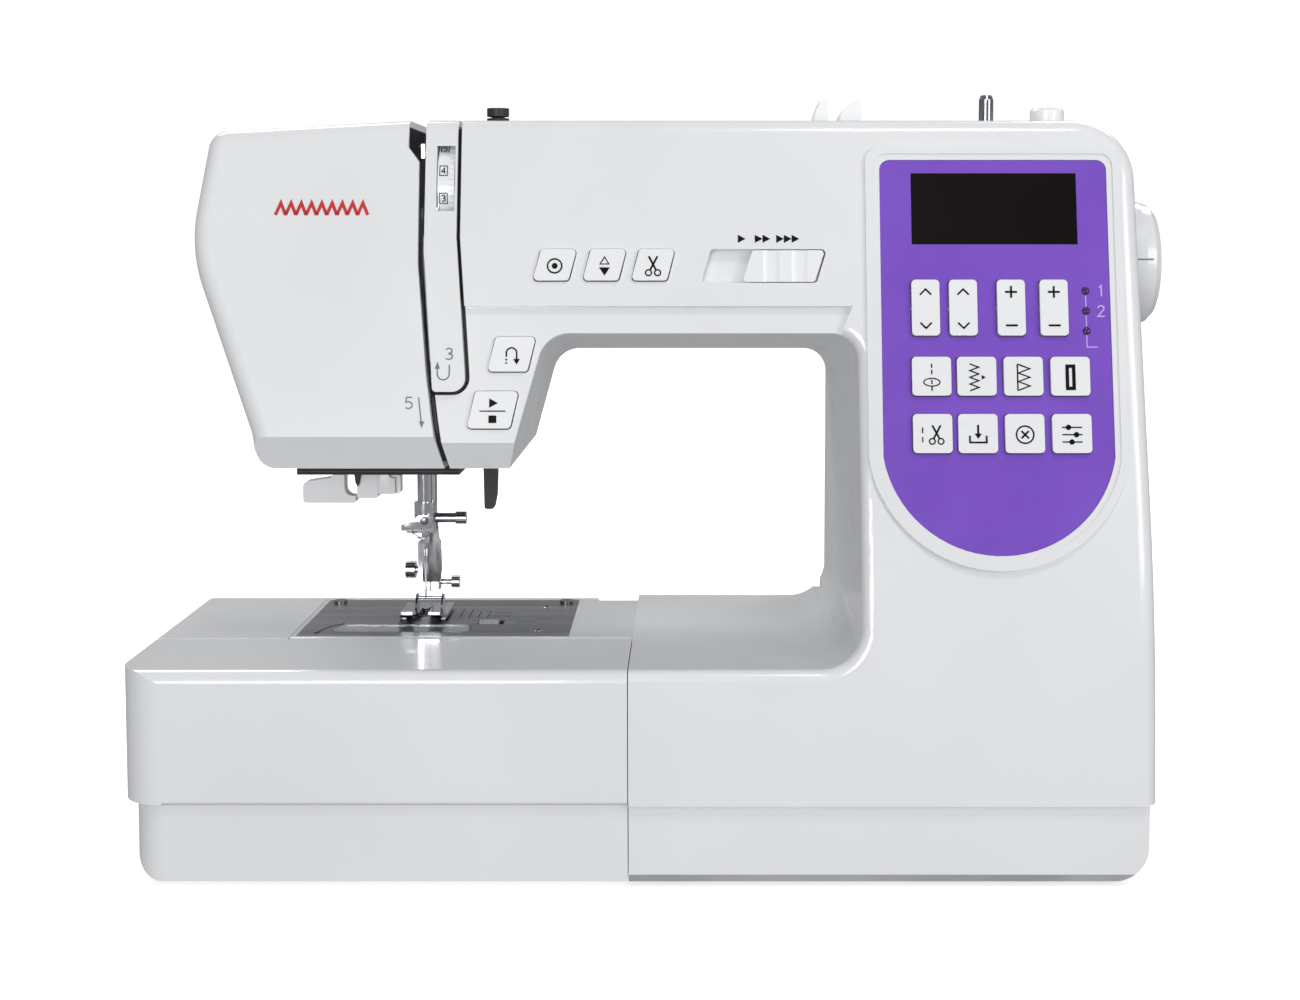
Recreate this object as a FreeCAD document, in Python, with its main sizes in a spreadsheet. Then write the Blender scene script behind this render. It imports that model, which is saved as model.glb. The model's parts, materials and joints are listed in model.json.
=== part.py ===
import FreeCAD, Part
import Sketcher
import math
import os
import re
from FreeCAD import Placement, Rotation, Vector

# Computerised domestic sewing machine, seen with its controls towards -Y.
# +X points to the handwheel, +Z is up, and the origin is on the table, under
# the middle of the machine's box. All sizes are millimetres.

DIMENSIONS = {
    # housing
    "body_left": -184.5, "body_right": 190, "bed_start": -12, "front_face": -87, "back_face": 86.5,
    "arm_back": 60, "top_height": 294, "bed_height": 84, "plinth_height": 32, "plinth_inset": 2.8,
    "foot_height": 2, "wall": 2.6, "lean_degrees": 12.1, "lean_start": 105, "edge_round": 7, "bed_round": 4,
    "column_left": 75, "head_bottom": 158, "chin_height": 171.8, "brow_height": 221.5, "brow_step": 2.8,
    "arm_bottom_front": 216.4, "arm_bottom_back": 193.3, "seam_depth": 14,
    # needle, hook and presser positions
    "needle_line": -103, "needle_depth": 14, "presser_depth": 27, "hook_depth": -5,
    "shaft_height": 237, "shaft_depth": 4, "lower_height": 40, "lower_depth": 14,
    # free arm, table and plates
    "arm_end": -153, "arm_front": -29.6, "arm_rear": 50, "arm_underside": 24, "table_left": -206.5,
    "table_rear": 54.5, "lid_seam": -30.2, "plate_left": -151, "plate_right": -38.5,
    "plate_front": -25.8, "plate_rear": 48, "plate_thick": 2.2, "gap": 0.35,
    # controls
    "panel_left": 85.4, "panel_right": 173.9, "panel_top": 278, "panel_bottom": 127.4,
    "panel_shoulder": 164, "hinge_bead": 1.2, "bezel_width": 5.6, "key_side": 15, "rocker_width": 10.8,
    "rocker_height": 21.8, "key_thick": 4.4, "button_thick": 5,
    # turning parts
    "wheel_radius": 26, "wheel_end": 206.5, "shaft_radius": 5, "pulley_radius": 19,
    "dial_radius": 21, "dial_height": 271, "dial_middle": -83.9,
    "bobbin_radius": 10.2, "hook_radius": 17, "winder_radius": 3, "needle_bar_radius": 3.2, "presser_bar_radius": 3.5,
}

doc = FreeCAD.newDocument("sewing_machine")
sheet = doc.addObject("Spreadsheet::Sheet", "sizes")
for row, (alias, value) in enumerate(DIMENSIONS.items(), 1):
    sheet.set("A%d" % row, alias)
    sheet.set("B%d" % row, str(value))
    sheet.setAlias("B%d" % row, alias)
doc.recompute()

subparts = []
X_AXIS, Y_AXIS, Z_AXIS = Vector(1, 0, 0), Vector(0, 1, 0), Vector(0, 0, 1)


# ---------------------------------------------------------------- helpers

def in_sheet(text):
    """The expression with every sheet name written in full."""
    return re.sub(r"[a-z][a-z_]+", lambda word: "sizes." + word.group(0), str(text))


def size(text):
    """Value of an expression in sheet names, such as "needle_line + 4"."""
    return float(sheet.evalExpression(in_sheet(text)))


def bind(item, **expressions):
    for name, text in expressions.items():
        item.setExpression(name, in_sheet(text))


def place(item, x, y, z, rotation=None):
    """Puts an item at a point given by three sheet expressions."""
    if rotation:
        item.Placement = Placement(Vector(), rotation)
    for letter, text in zip("xyz", (x, y, z)):
        item.setExpression("Placement.Base." + letter, in_sheet(text))
    return item


def subpart(label, item):
    item.Label = label
    subparts.append(item)
    return item


def box(x, y, z, length, width, height):
    item = doc.addObject("Part::Box", "block")
    bind(item, Length=length, Width=width, Height=height)
    return place(item, x, y, z)


def rod(axis, x, y, z, radius, length):
    """Cylinder that starts at x, y, z and runs along +axis."""
    item = doc.addObject("Part::Cylinder", "rod")
    bind(item, Radius=radius, Height=length)
    return place(item, x, y, z, Rotation(Z_AXIS, axis))


def fuse(*items):
    item = doc.addObject("Part::MultiFuse", "joined")
    item.Shapes = list(items)
    item.Refine = True
    return item


def cut(base, *tools):
    item = doc.addObject("Part::Cut", "cut")
    item.Base = base
    item.Tool = tools[0] if len(tools) == 1 else fuse(*tools)
    return item


def rounded(base, radius, chosen=lambda edge: True):
    """Part::Fillet on the edges of base that pass the test."""
    doc.recompute()
    item = doc.addObject("Part::Fillet", "rounded")
    item.Base = base
    edges = base.Shape.Edges
    item.Edges = [(number, radius, radius) for number, edge in enumerate(edges, 1) if chosen(edge)]
    return item


def upright(edge):
    box_of = edge.BoundBox
    return box_of.XLength + box_of.YLength < 1e-3


def solid_feature(label, shape):
    item = doc.addObject("Part::Feature", "shape")
    item.Shape = shape
    return subpart(label, item)


def sketch_on(body, role, points):
    """Closed outline of straight lines, every corner held by two sheet expressions."""
    sketch = body.newObject("Sketcher::SketchObject", "outline")
    plane = [item for item in body.Origin.OriginFeatures if item.Role == role][0]
    sketch.AttachmentSupport = (plane, [""])
    sketch.MapMode = "FlatFace"
    corners = [Vector(size(first), size(second), 0) for first, second in points]
    for number, corner in enumerate(corners):
        following = corners[(number + 1) % len(corners)]
        sketch.addGeometry(Part.LineSegment(corner, following), False)
    for number in range(len(points)):
        sketch.addConstraint(Sketcher.Constraint("Coincident", number, 2, (number + 1) % len(points), 1))
    for number, (first, second) in enumerate(points):
        for kind, text in (("DistanceX", first), ("DistanceY", second)):
            held = sketch.addConstraint(Sketcher.Constraint(kind, -1, 1, number, 1, size(text)))
            sketch.setExpression("Constraints[%d]" % held, in_sheet(text))
    return sketch


def padded_body(points, length, fillet=0, role="XY_Plane", chosen=lambda edge: True):
    """PartDesign body: an outline padded along its plane's normal, with rounded edges."""
    body = doc.addObject("PartDesign::Body", "body")
    pad = body.newObject("PartDesign::Pad", "pad")
    pad.Profile = sketch_on(body, role, points)
    bind(pad, Length=length)
    if fillet:
        doc.recompute()
        soft = body.newObject("PartDesign::Fillet", "soft_edges")
        names = ["Edge%d" % n for n, edge in enumerate(pad.Shape.Edges, 1) if chosen(edge)]
        soft.Base = (pad, names)
        soft.Radius = fillet
    return body


def turned_body(profile):
    """PartDesign body turned about its Z axis from (radius, height) corners."""
    body = doc.addObject("PartDesign::Body", "body")
    turning = body.newObject("PartDesign::Revolution", "turning")
    turning.Profile = sketch_on(body, "XZ_Plane", profile)
    turning.ReferenceAxis = (turning.Profile[0], ["V_Axis"])
    turning.Angle = 360
    return body


def rectangle(width, height):
    half, tall = "%s / 2" % width, "%s / 2" % height
    return [("0 - " + half, "0 - " + tall), (half, "0 - " + tall), (half, tall), ("0 - " + half, tall)]


# ------------------------------------------------- plain solids for the housing

def prism(points, rounds, axis, low, high, inset=0):
    """Outline pulled along an axis, its corners rounded first and then drawn in by inset."""
    spots = {
        "X": lambda first, second: Vector(low, first, second),
        "Y": lambda first, second: Vector(first, low, second),
        "Z": lambda first, second: Vector(first, second, low),
    }[axis]
    direction = {"X": X_AXIS, "Y": Y_AXIS, "Z": Z_AXIS}[axis]
    corners = [spots(*point) for point in points]
    solid = Part.Face(Part.makePolygon(corners + corners[:1])).extrude(direction * (high - low))
    for radius in sorted(set(rounds.values())):
        chosen = []
        for number in [n for n, value in rounds.items() if value == radius]:
            for edge in solid.Edges:
                ends = [vertex.Point - corners[number] for vertex in edge.Vertexes]
                if len(ends) == 2 and all(end.cross(direction).Length < 1e-4 for end in ends):
                    chosen.append(edge)
        solid = solid.makeFillet(radius, chosen)
    if not inset:
        return solid
    cap = [face for face in solid.Faces if abs(face.CenterOfMass.dot(direction) - low) < 1e-6][0]
    return cap.makeOffset2D(-inset).extrude(direction * (high - low))


def block(low, high):
    return Part.makeBox(high[0] - low[0], high[1] - low[1], high[2] - low[2], Vector(*low))


LEAN = math.radians(size("lean_degrees"))
OUT = Vector(0, -math.cos(LEAN), math.sin(LEAN))
UP = Vector(0, math.sin(LEAN), math.cos(LEAN))
FRONT = Rotation(X_AXIS, 90 - math.degrees(LEAN))


def front_depth(height):
    """Y of the leaning front surface at a height above its curved foot."""
    return size("front_face") + (height - size("lean_start")) * math.tan(LEAN)


def on_front(x, z, proud=0.0):
    """Point on the leaning front surface, or standing proud of it."""
    return Vector(x, front_depth(z), z) + OUT * proud


def front_block(points, low, high):
    """Prism square to the leaning front, from (x, z) corners, between two depths."""
    corners = [on_front(x, z, low) for x, z in points]
    return Part.Face(Part.makePolygon(corners + corners[:1])).extrude(OUT * (high - low))


def housing_outline():
    """Front view of the housing; the throat is left small here and cut to shape afterwards."""
    top, bottom, bed = size("top_height"), size("head_bottom"), size("bed_height")
    spare = 4
    corners = [
        (size("body_right"), size("plinth_height")), (186, top), (-96, top), (-177.5, top - 4.5),
        (size("body_left"), 243), (-157.5, size("chin_height")), (-155, bottom), (-50, bottom),
        (-40, 187), (size("column_left") - spare, 187), (size("column_left") - spare, bed + spare),
        (size("bed_start"), bed + spare), (size("bed_start"), size("plinth_height")),
    ]
    return corners, {1: 24, 3: 8, 4: 60, 5: 20, 6: 6}


def throat_solids(grow):
    """Space under the arm, as two solids: one with the falling ceiling, one with the bed's round end."""
    front, run, drift = -115, 215, Vector(-6, 0, 0)
    bed, right = size("bed_height") - grow, size("column_left") + 3 + grow
    ceiling = size("arm_bottom_front") + grow
    head_edge = -59 - grow
    slope = 0.277
    fall = size("arm_bottom_front - arm_bottom_back")
    upper = [(head_edge - 18 * slope, 140), (head_edge + (ceiling - size("head_bottom")) * slope, ceiling),
             (right, ceiling), (right, 140)]
    lower = [(-120, bed), (-120, 148), (right, 148), (right, bed)]
    solids = []
    for corners, rounds, drop in ((upper, {1: 12 + grow, 2: 10 + grow}, fall), (lower, {3: 16 - grow}, 0)):
        slab = prism(corners, rounds, "Y", front, front + 1)
        cap = [face for face in slab.Faces if abs(face.CenterOfMass.y - front) < 1e-6][0]
        solids.append(cap.extrude(Vector(0, run, -drop) + drift))
    return solids


def housing_side():
    front, back, top = size("front_face"), size("back_face"), size("top_height")
    low = size("plinth_height")
    corners = [
        (front, low), (front, size("lean_start")), (front_depth(top), top), (62, top),
        (66, 215), (back, 150), (back, low),
    ]
    return corners, {1: 420, 3: 7, 4: 60, 5: 60}


def housing_solid(inset):
    """Outer form of head, arm, column and bed, or the space inside its walls."""
    corners, rounds = housing_outline()
    solid = prism(corners, rounds, "Y", -110, 110, inset)
    corners, rounds = housing_side()
    solid = solid.common(prism(corners, rounds, "X", -215, 215, inset))
    for space in throat_solids(inset):
        solid = solid.cut(space)
    chin = size("chin_height")
    under = [(-115, chin), (front_depth(chin), chin), (-60, size("head_bottom")), (-60, 120), (-115, 120)]
    solid = solid.cut(prism(under, {}, "X", -215, 0, -inset))
    behind = block((-215, size("arm_back") - inset, -5), (size("column_left") + inset, 120, 320))
    solid = solid.cut(behind)
    if inset:
        return solid
    top = size("top_height")
    front_top = [edge for edge in solid.Edges
                 if edge.BoundBox.ZMin > top - 0.01 and edge.BoundBox.YMax < front_depth(top) + 0.1
                 and edge.BoundBox.XLength > 100]
    solid = solid.makeFillet(size("edge_round"), front_top)
    bed = size("bed_height")
    bed_front = [edge for edge in solid.Edges
                 if abs(edge.BoundBox.ZMin - bed) < 0.01 and edge.BoundBox.ZLength < 0.01
                 and edge.BoundBox.YMax < -80 and edge.BoundBox.XLength > 50]
    return solid.makeFillet(size("bed_round"), bed_front)


def plinth_solid(inset):
    """Recessed lower part of the base, rounded at its right-hand bottom corner."""
    step = size("plinth_inset")
    low, high = size("foot_height"), size("plinth_height")
    solid = block((size("bed_start"), size("front_face") + step, low),
                  (size("body_right") - step, size("back_face") - step, high))
    right = [edge for edge in solid.Edges
             if edge.BoundBox.XMin > size("body_right") - step - 0.01 and edge.BoundBox.ZMax < low + 0.01]
    solid = solid.makeFillet(13, right)
    notch = block((-20, size("arm_back"), 0), (size("column_left"), 120, 40))
    if inset:
        x, y = size("bed_start") + inset, size("front_face") + step + inset
        room = block((x, y, low + inset), (size("body_right") - step - inset - 4,
                                           size("back_face") - step - inset, high + 1))
        wider = block((-20, size("arm_back") - inset, 0), (size("column_left") + inset, 120, 40))
        return room.cut(wider)
    return solid.cut(notch)


# ------------------------------------------------------------- front openings

def panel_outline(grow):
    """Wire of the half-round control panel on the front surface, grown by a margin."""
    left, right = size("panel_left") - grow, size("panel_right") + grow
    top, foot, shoulder = size("panel_top") + grow, size("panel_bottom") - grow, size("panel_shoulder")
    middle = (left + right) / 2
    corners = [on_front(left, shoulder), on_front(left, top), on_front(right, top),
               on_front(right, shoulder)]
    lines = [Part.LineSegment(corners[n], corners[n + 1]).toShape() for n in range(3)]
    lines.append(Part.Arc(corners[3], on_front(middle, foot), corners[0]).toShape())
    return Part.Wire(lines)


def panel_solid(grow, low, high, corner=4.0):
    """Control-panel shape between two depths, its two top corners rounded."""
    face = Part.Face(panel_outline(grow))
    face.translate(OUT * low)
    solid = face.extrude(OUT * (high - low))
    top = size("panel_top") + grow
    chosen = []
    for edge in solid.Edges:
        ends = [vertex.Point for vertex in edge.Vertexes]
        if abs((ends[0] - ends[-1]).cross(OUT).Length) < 1e-4 and edge.Length > 0.5:
            if abs(ends[0].z - top) < 6:
                chosen.append(edge)
    return solid.makeFillet(corner, chosen)


def slanted(x, z, width, height, slant):
    """Corners of a rounded-looking parallelogram that leans to the right."""
    lean, half, tall = slant / 2, width / 2, height / 2
    return [(x - half - lean, z - tall), (x + half - lean, z - tall),
            (x + half + lean, z + tall), (x - half + lean, z + tall)]


KEY_ROWS = (172.9, 194.5)
KEY_COLUMNS = (104.2, 121.5, 139.4, 157.4)
ROCKER_COLUMNS = (102.4, 116.9, 135.4, 151.9)
ROCKER_LINE = 220.6
PIN_RADIUS, PIN_REACH, PIN_DEPTH = 0.8, 0.65, -1.4
BUTTONS = {
    # name: middle x, z, width, height, slant
    "start_stop_button": (-64.4, 182.2, 16.6, 14.4, 3.2),
    "reverse_button": (-57.4, 203.4, 15.4, 13.6, 3.2),
    "auto_lock_button": (-40.9, 237.2, 13.8, 12.4, 3.2),
    "needle_up_down_button": (-21.6, 237.2, 13.8, 12.4, 3.2),
    "thread_cutter_button": (-2.8, 237.2, 13.8, 12.4, 3.2),
}


def frame_at(x, z):
    """Placement on the leaning front, or on the face set back below the brow."""
    sunk = size("brow_step") if z < size("brow_height") and x < size("column_left") else 0
    return Placement(on_front(x, z, -sunk), FRONT)


def recess_solid(grow):
    """Shallow step under the brow, from the needle side to a curved end beside the column."""
    top = size("brow_height") + grow
    right = size("column_left")
    corners = [(-96, 120), (-96, top), (right - 0.5 + grow, top), (right - 4.5 + grow, 212),
               (right - 5.5 + grow, 120)]
    return front_block(corners, -size("brow_step") - grow, 30)


def button_solid(name, grow, low, high):
    x, z, width, height, slant = BUTTONS[name]
    corners = slanted(0, 0, width + 2 * grow, height + 2 * grow, slant)
    solid = prism(corners, {n: 1.6 + grow for n in range(4)}, "Z", low, high)
    solid.Placement = frame_at(x, z)
    return solid


def slider_corners(left, right, grow=0.0):
    low, high, slant = 230.4 - grow, 243.4 + grow, 2.0
    return [(left - slant - grow, low), (right - slant + grow, low),
            (right + slant + grow, high), (left + slant - grow, high)]


# ------------------------------------------------------------- housing shells

# Needle-side slot: the face cover's edge, wide at the top for the take-up lever, as (x, z).
FACE_EDGE = [(-99.2, 330), (-98.7, 283), (-94.5, 277.5), (-94.2, 238), (-90.2, 196), (-87.7, 178),
             (-84, 156), (-84, 120)]
SLOT_WIDTH = 2.2


def face_region(shift):
    """Prism over everything left of the needle-side slot, moved right by shift."""
    edge = [(x + shift, z) for x, z in FACE_EDGE]
    return prism([(-230, 330)] + edge + [(-230, 120)], {}, "Y", -120, 120)


def channel_region(grow):
    """Prism over the thread-channel cover strip with its rounded lower end."""
    foot = 188.8 - grow
    corners = [(-91.9 - grow, 330), (-91.9 - grow, 243), (-88.2 - grow, 198), (-87.6 - grow, foot),
               (-74.8 + grow, foot), (-75.2 + grow, 196), (-79.4 + grow, 248), (-79.4 + grow, 330)]
    return prism(corners, {3: 1.6 + grow, 4: 5 + grow}, "Y", -120, 10)


def housing_openings():
    """Holes through the front cover for the panel, buttons, slider and dial."""
    tools = [panel_solid(0.05, -8, 8)]
    tools += [button_solid(name, 0.4, -6, 6) for name in BUTTONS]
    slot = prism(slider_corners(17.7, 62.7), {n: 1.6 for n in range(4)}, "Y", -120, -40)
    return tools + [slot]


def head_bottom_opening():
    """Room in the underside for the bars, the levers and the lamp."""
    low, high = size("head_bottom") - 10, size("head_bottom") + 6
    bars = block((-160, -30, low), (-88.5, 44, high))
    lifter = block((-88.6, 8, low), (-61, 44, high))
    return bars.fuse(lifter)


def handle_recess(grow=0.0):
    return block((-52 - grow, 20 - grow, 275 - grow), (62 + grow, 90, 300))


def make_housing():
    wall, seam = size("wall"), size("seam_depth")
    outer = housing_solid(0)
    inner = housing_solid(wall).cut(recess_solid(wall))
    plinth_outer, plinth_inner = plinth_solid(0), plinth_solid(wall)
    joint_band = block((-9.4, -84.2 + 2, 20), (185, 57, 40)).fuse(block((80.6, 20, 20), (185, 81, 40)))
    shell = outer.fuse(plinth_outer).cut(inner.fuse(plinth_inner).fuse(joint_band))
    floor = block((-230, -120, 0), (230, 120, size("foot_height") + wall))
    shell = shell.cut(floor)
    shell = shell.fuse(handle_recess(wall).common(outer)).cut(handle_recess())
    front_half = block((-230, -120, -10), (230, seam, 330))

    face = shell.common(face_region(0)).cut(head_bottom_opening())
    body = shell.cut(face_region(SLOT_WIDTH))
    front = body.common(front_half)
    rear = body.cut(front_half)

    lever_slot = block((-100, -120, 240), (-90, 10, 330))
    front = front.cut(channel_region(1.5)).cut(recess_solid(0)).cut(lever_slot)
    for tool in housing_openings():
        front = front.cut(tool)
    ring = panel_solid(size("bezel_width"), -2.4, 1.3, 7).cut(panel_solid(0.05, -8, 8))
    inner_step = panel_solid(2.4, 0.7, 8, 5).cut(panel_solid(0.05, -9, 9))
    front = front.fuse(ring.cut(inner_step))
    around = prism(slider_corners(17.7, 62.7, 2.0), {}, "Y", -120, -30)
    throat = prism(slider_corners(17.7, 62.7), {n: 1.6 for n in range(4)}, "Y", -120, -30)
    collar = around.cut(throat).common(housing_solid(wall - 0.3)).cut(housing_solid(wall + 3.0))
    shelf = around.common(housing_solid(wall + 1.6)).cut(housing_solid(wall + 3.0))
    front = front.fuse([shelf, collar])
    front = front.cut(head_bottom_opening())
    rear = rear.cut(head_bottom_opening())
    for vent in rear_vents():
        rear = rear.cut(vent)
    front = front.cut(bed_arm_opening())
    rear = rear.cut(bed_arm_opening())
    side = side_openings()
    rear = rear.cut(side)
    front = front.cut(side)
    top = top_openings()
    front = front.cut(top)
    rear = rear.cut(top)

    strip = shell.common(channel_region(0))
    dial_window = block((-87.5, -120, 258.3), (-80.3, 0, 283.7))
    strip = strip.cut(dial_window)

    solid_feature("front_cover", front)
    solid_feature("rear_cover", rear)
    solid_feature("face_cover", face)
    solid_feature("thread_channel_cover", strip)


def bed_arm_opening():
    """Passage in the bed's left wall, where the free arm comes out."""
    return block((-20, size("arm_front") + 2.2, size("arm_underside") + 2), (0, size("arm_rear") - 2.2, 81.5))


def rear_vents():
    """Cooling slots, one above another, low on the column's back."""
    return [block((96, 70, z), (168, 100, z + 2.6)) for z in range(56, 96, 6)]


def side_openings():
    """Right-hand wall: shaft passage, rocker switch and socket panel."""
    shaft = Part.makeCylinder(size("shaft_radius") + 1.5, 40,
                              Vector(170, size("shaft_depth"), size("shaft_height")), X_AXIS)
    sockets = block((170, -32, 22), (200, 34, 62))
    return shaft.fuse(sockets)


WINDER_LINE = 135.2


def top_openings():
    """Hole in the top for the winder spindle."""
    return Part.makeCylinder(size("winder_radius") + 0.3, 40, Vector(WINDER_LINE, 0, 270), Z_AXIS)


def make_base_plate():
    low = size("foot_height")
    outline = plinth_solid(0).common(block((-230, -120, low), (230, 120, low + size("wall") - 0.05)))
    solid_feature("base_plate", outline)


# ------------------------------------------------------------- free arm, table, plates

HINGE_HEIGHT = size("plinth_height + 0.6 + hinge_bead")


def make_bed():
    gap, high = size("gap"), size("bed_height")
    left, right = size("arm_end"), size("bed_start")
    front, rear, low = size("arm_front"), size("arm_rear"), size("arm_underside")
    outer = prism([(front, low), (rear, low), (rear, high), (front, high)],
                  {0: 9, 1: 9, 2: 3, 3: 3}, "X", left, right)
    inner = prism([(front, low), (rear, low), (rear, high), (front, high)],
                  {0: 9, 1: 9, 2: 3, 3: 3}, "X", left + 2.5, right + 1, 2.4)
    plate = block((size("plate_left") - 0.05, size("plate_front") - 0.05, high - 2.3),
                  (size("plate_right") + 0.05, size("plate_rear") + 0.05, high + 3))
    well = block((size("plate_left") + 2.6, size("plate_front") + 2.6, high - 6),
                 (size("plate_right") - 2.6, size("plate_rear") - 2.6, high + 3))
    solid_feature("free_arm_cover", outer.cut(inner).cut(plate).cut(well))

    top, plinth = high, size("plinth_height")
    far, near = size("table_left"), right - gap
    back, seam = size("table_rear"), size("lid_seam")
    plan = [(far, size("front_face")), (near, size("front_face")), (near, back), (far, back)]
    upper = prism(plan, {0: 16, 3: 5}, "Z", plinth, top)
    crown = prism([(size("front_face"), 0), (back, 0), (back, top), (size("front_face"), top)],
                  {3: 4.5, 2: 2}, "X", -300, 0)
    upper = upper.common(crown)
    lid_space = block((-300, -200, plinth + 0.6), (0, seam, 200))
    lid_void = prism([(x + 2.6 if x < -100 else x - 2.2, y + 2.6) for x, y in plan],
                     {0: 14, 3: 3}, "Z", plinth - 1, top - 2.6)
    lid = upper.common(lid_space).cut(lid_void)
    seam_edge = [edge for edge in lid.Edges if edge.BoundBox.ZMin > top - 0.01
                 and edge.BoundBox.YMin > seam - 0.01 and edge.BoundBox.XLength > 100]
    lid = lid.makeFillet(1.2, seam_edge)
    bead, bead_left, bead_line = size("hinge_bead"), far + 17, size("front_face") + 1.4
    lid = lid.cut(block((bead_left, bead_line - 5, plinth), (near + 1, bead_line + 1.21, HINGE_HEIGHT)))
    lid = lid.fuse(Part.makeCylinder(bead, near - bead_left, Vector(bead_left, bead_line, HINGE_HEIGHT),
                                     X_AXIS))
    solid_feature("storage_lid", lid.removeSplitter())

    arm_room = block((left - gap, front - gap, -5), (0, rear + gap, 200))
    step = size("plinth_inset")
    low_plan = [(far + 4, size("front_face") + step), (near, size("front_face") + step),
                (near, back), (far + 4, back)]
    low = size("foot_height")
    plinth_block = prism(low_plan, {0: 13, 3: 4}, "Z", low, plinth)
    under = prism([(far + 4, low), (near, low), (near, plinth), (far + 4, plinth)], {0: 12}, "Y", -100, 80)
    plinth_block = plinth_block.common(under)
    behind_seam = block((-300, seam + gap, 0), (0, 100, 200))
    table = plinth_block.fuse(upper.common(behind_seam))
    bin_room = prism([(far + 8, size("front_face") + 5.8), (near - 3, size("front_face") + 5.8),
                      (near - 3, seam - 2.4), (far + 8, seam - 2.4)], {0: 12, 3: 4}, "Z", 4, 100)
    table = table.cut(bin_room).cut(arm_room)
    end_room = block((far + 8, seam + 2.8, 4), (left, back - 3, top - 2.6))
    table = table.cut(end_room)
    back_lip = block((-30, rear, 0), (0, 100, 200))
    feet = [Part.makeCylinder(5, low + 0.2, Vector(x, y, 0)) for x, y in
            ((-176, -72), (-30, -72), (-181, 42))]
    solid_feature("extension_table", table.cut(back_lip).fuse(feet).removeSplitter())

    slot = block((size("needle_line") - 5, 12.6, 60), (size("needle_line") + 5, 15.4, 100))
    dog_slots = [block((size("needle_line") + x - 1.3, 4, 60), (size("needle_line") + x + 1.3, 25.5, 100))
                 for x in (-8.5, 8.5)]
    dog_slots += [block((size("needle_line") + x - 1.3, 17.4, 60), (size("needle_line") + x + 1.3, 31, 100))
                  for x in (-3.4, 3.4)]
    base = block((size("plate_left"), size("plate_front"), high - 2.2),
                 (size("plate_right"), size("plate_rear"), high))
    window = prism([(-138.5, -18), (-80, -18), (-81.7, -3.6), (-136.8, -3.6)], {n: 3 for n in range(4)},
                   "Z", 60, 100)
    release = block((-79, -3, 60), (-67.8, 5.2, 100))
    plate_solid = base.cut(slot).cut(window).cut(release)
    for dog in dog_slots:
        plate_solid = plate_solid.cut(dog)
    heads = []
    for x, y in ((-145.5, 42), (-44, 42)):
        disc = Part.makeCylinder(3, 1.2, Vector(x, y, high))
        heads.append(disc.cut(block((x - 3, y - 0.4, high + 0.5), (x + 3, y + 0.4, high + 9))))
    solid_feature("needle_plate", Part.makeCompound([plate_solid] + heads))
    cover = prism([(-138.2, -17.7), (-80.3, -17.7), (-82, -3.9), (-136.5, -3.9)],
                  {n: 2.8 for n in range(4)}, "Z", high - 2.1, high + 0.1)
    solid_feature("hook_cover_plate", cover)
    subpart("hook_cover_release", place(padded_body(rectangle("8.4", "7.2"), "3", 0.8,
            chosen=upright), "-74.3", "1.1", "bed_height - 2.6"))


def make_feed_and_hook():
    line, depth, high = size("needle_line"), size("hook_depth"), size("bed_height")
    carrier = block((line - 11, 8, high - 6.4), (line + 11, 25, high - 4))
    carrier = carrier.cut(block((line - 6, 11, high - 10), (line + 6, 17.2, high)))
    combs = []
    for x, y, run in ((-8.5, 7, 15.5), (8.5, 7, 15.5), (-3.4, 20.4, 7.6), (3.4, 20.4, 7.6)):
        bar = block((line + x - 0.9, y, high - 6), (line + x + 0.9, y + run, high + 0.2))
        teeth = int(run / 1.3)
        for number in range(teeth):
            y_tooth = y + number * run / teeth
            tooth = prism([(y_tooth, high), (y_tooth + run / teeth, high), (y_tooth + 0.2, high + 0.9)],
                          {}, "X", line + x - 0.9, line + x + 0.9)
            bar = bar.fuse(tooth)
        combs.append(bar)
    bridge = block((line - 11, 24, high - 6.4), (line + 11, 29, high - 4))
    solid_feature("feed_dogs", carrier.fuse(combs + [bridge]).removeSplitter())

    hook = turned_body([("0", "0"), ("5", "0"), ("5", "6"), ("hook_radius", "10"), ("hook_radius", "24"),
                        ("hook_radius - 1.6", "24"), ("hook_radius - 1.6", "11.6"), ("0", "8")])
    subpart("rotary_hook", place(hook, "needle_line", "hook_depth", "bed_height - 34"))
    holder = turned_body([("0", "0"), ("hook_radius - 2.2", "2"), ("hook_radius - 2.2", "17.5"),
                          ("hook_radius - 3.6", "17.5"), ("hook_radius - 3.6", "3.4"), ("0", "1.6")])
    subpart("bobbin_holder", place(holder, "needle_line", "hook_depth", "bed_height - 24.2"))
    bobbin = turned_body([("3", "0"), ("bobbin_radius", "0"), ("bobbin_radius", "0.9"), ("4.2", "0.9"),
                          ("4.2", "10.6"), ("bobbin_radius", "10.6"), ("bobbin_radius", "11.5"),
                          ("3", "11.5")])
    subpart("bobbin", place(bobbin, "needle_line", "hook_depth", "bed_height - 19.8"))


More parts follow.
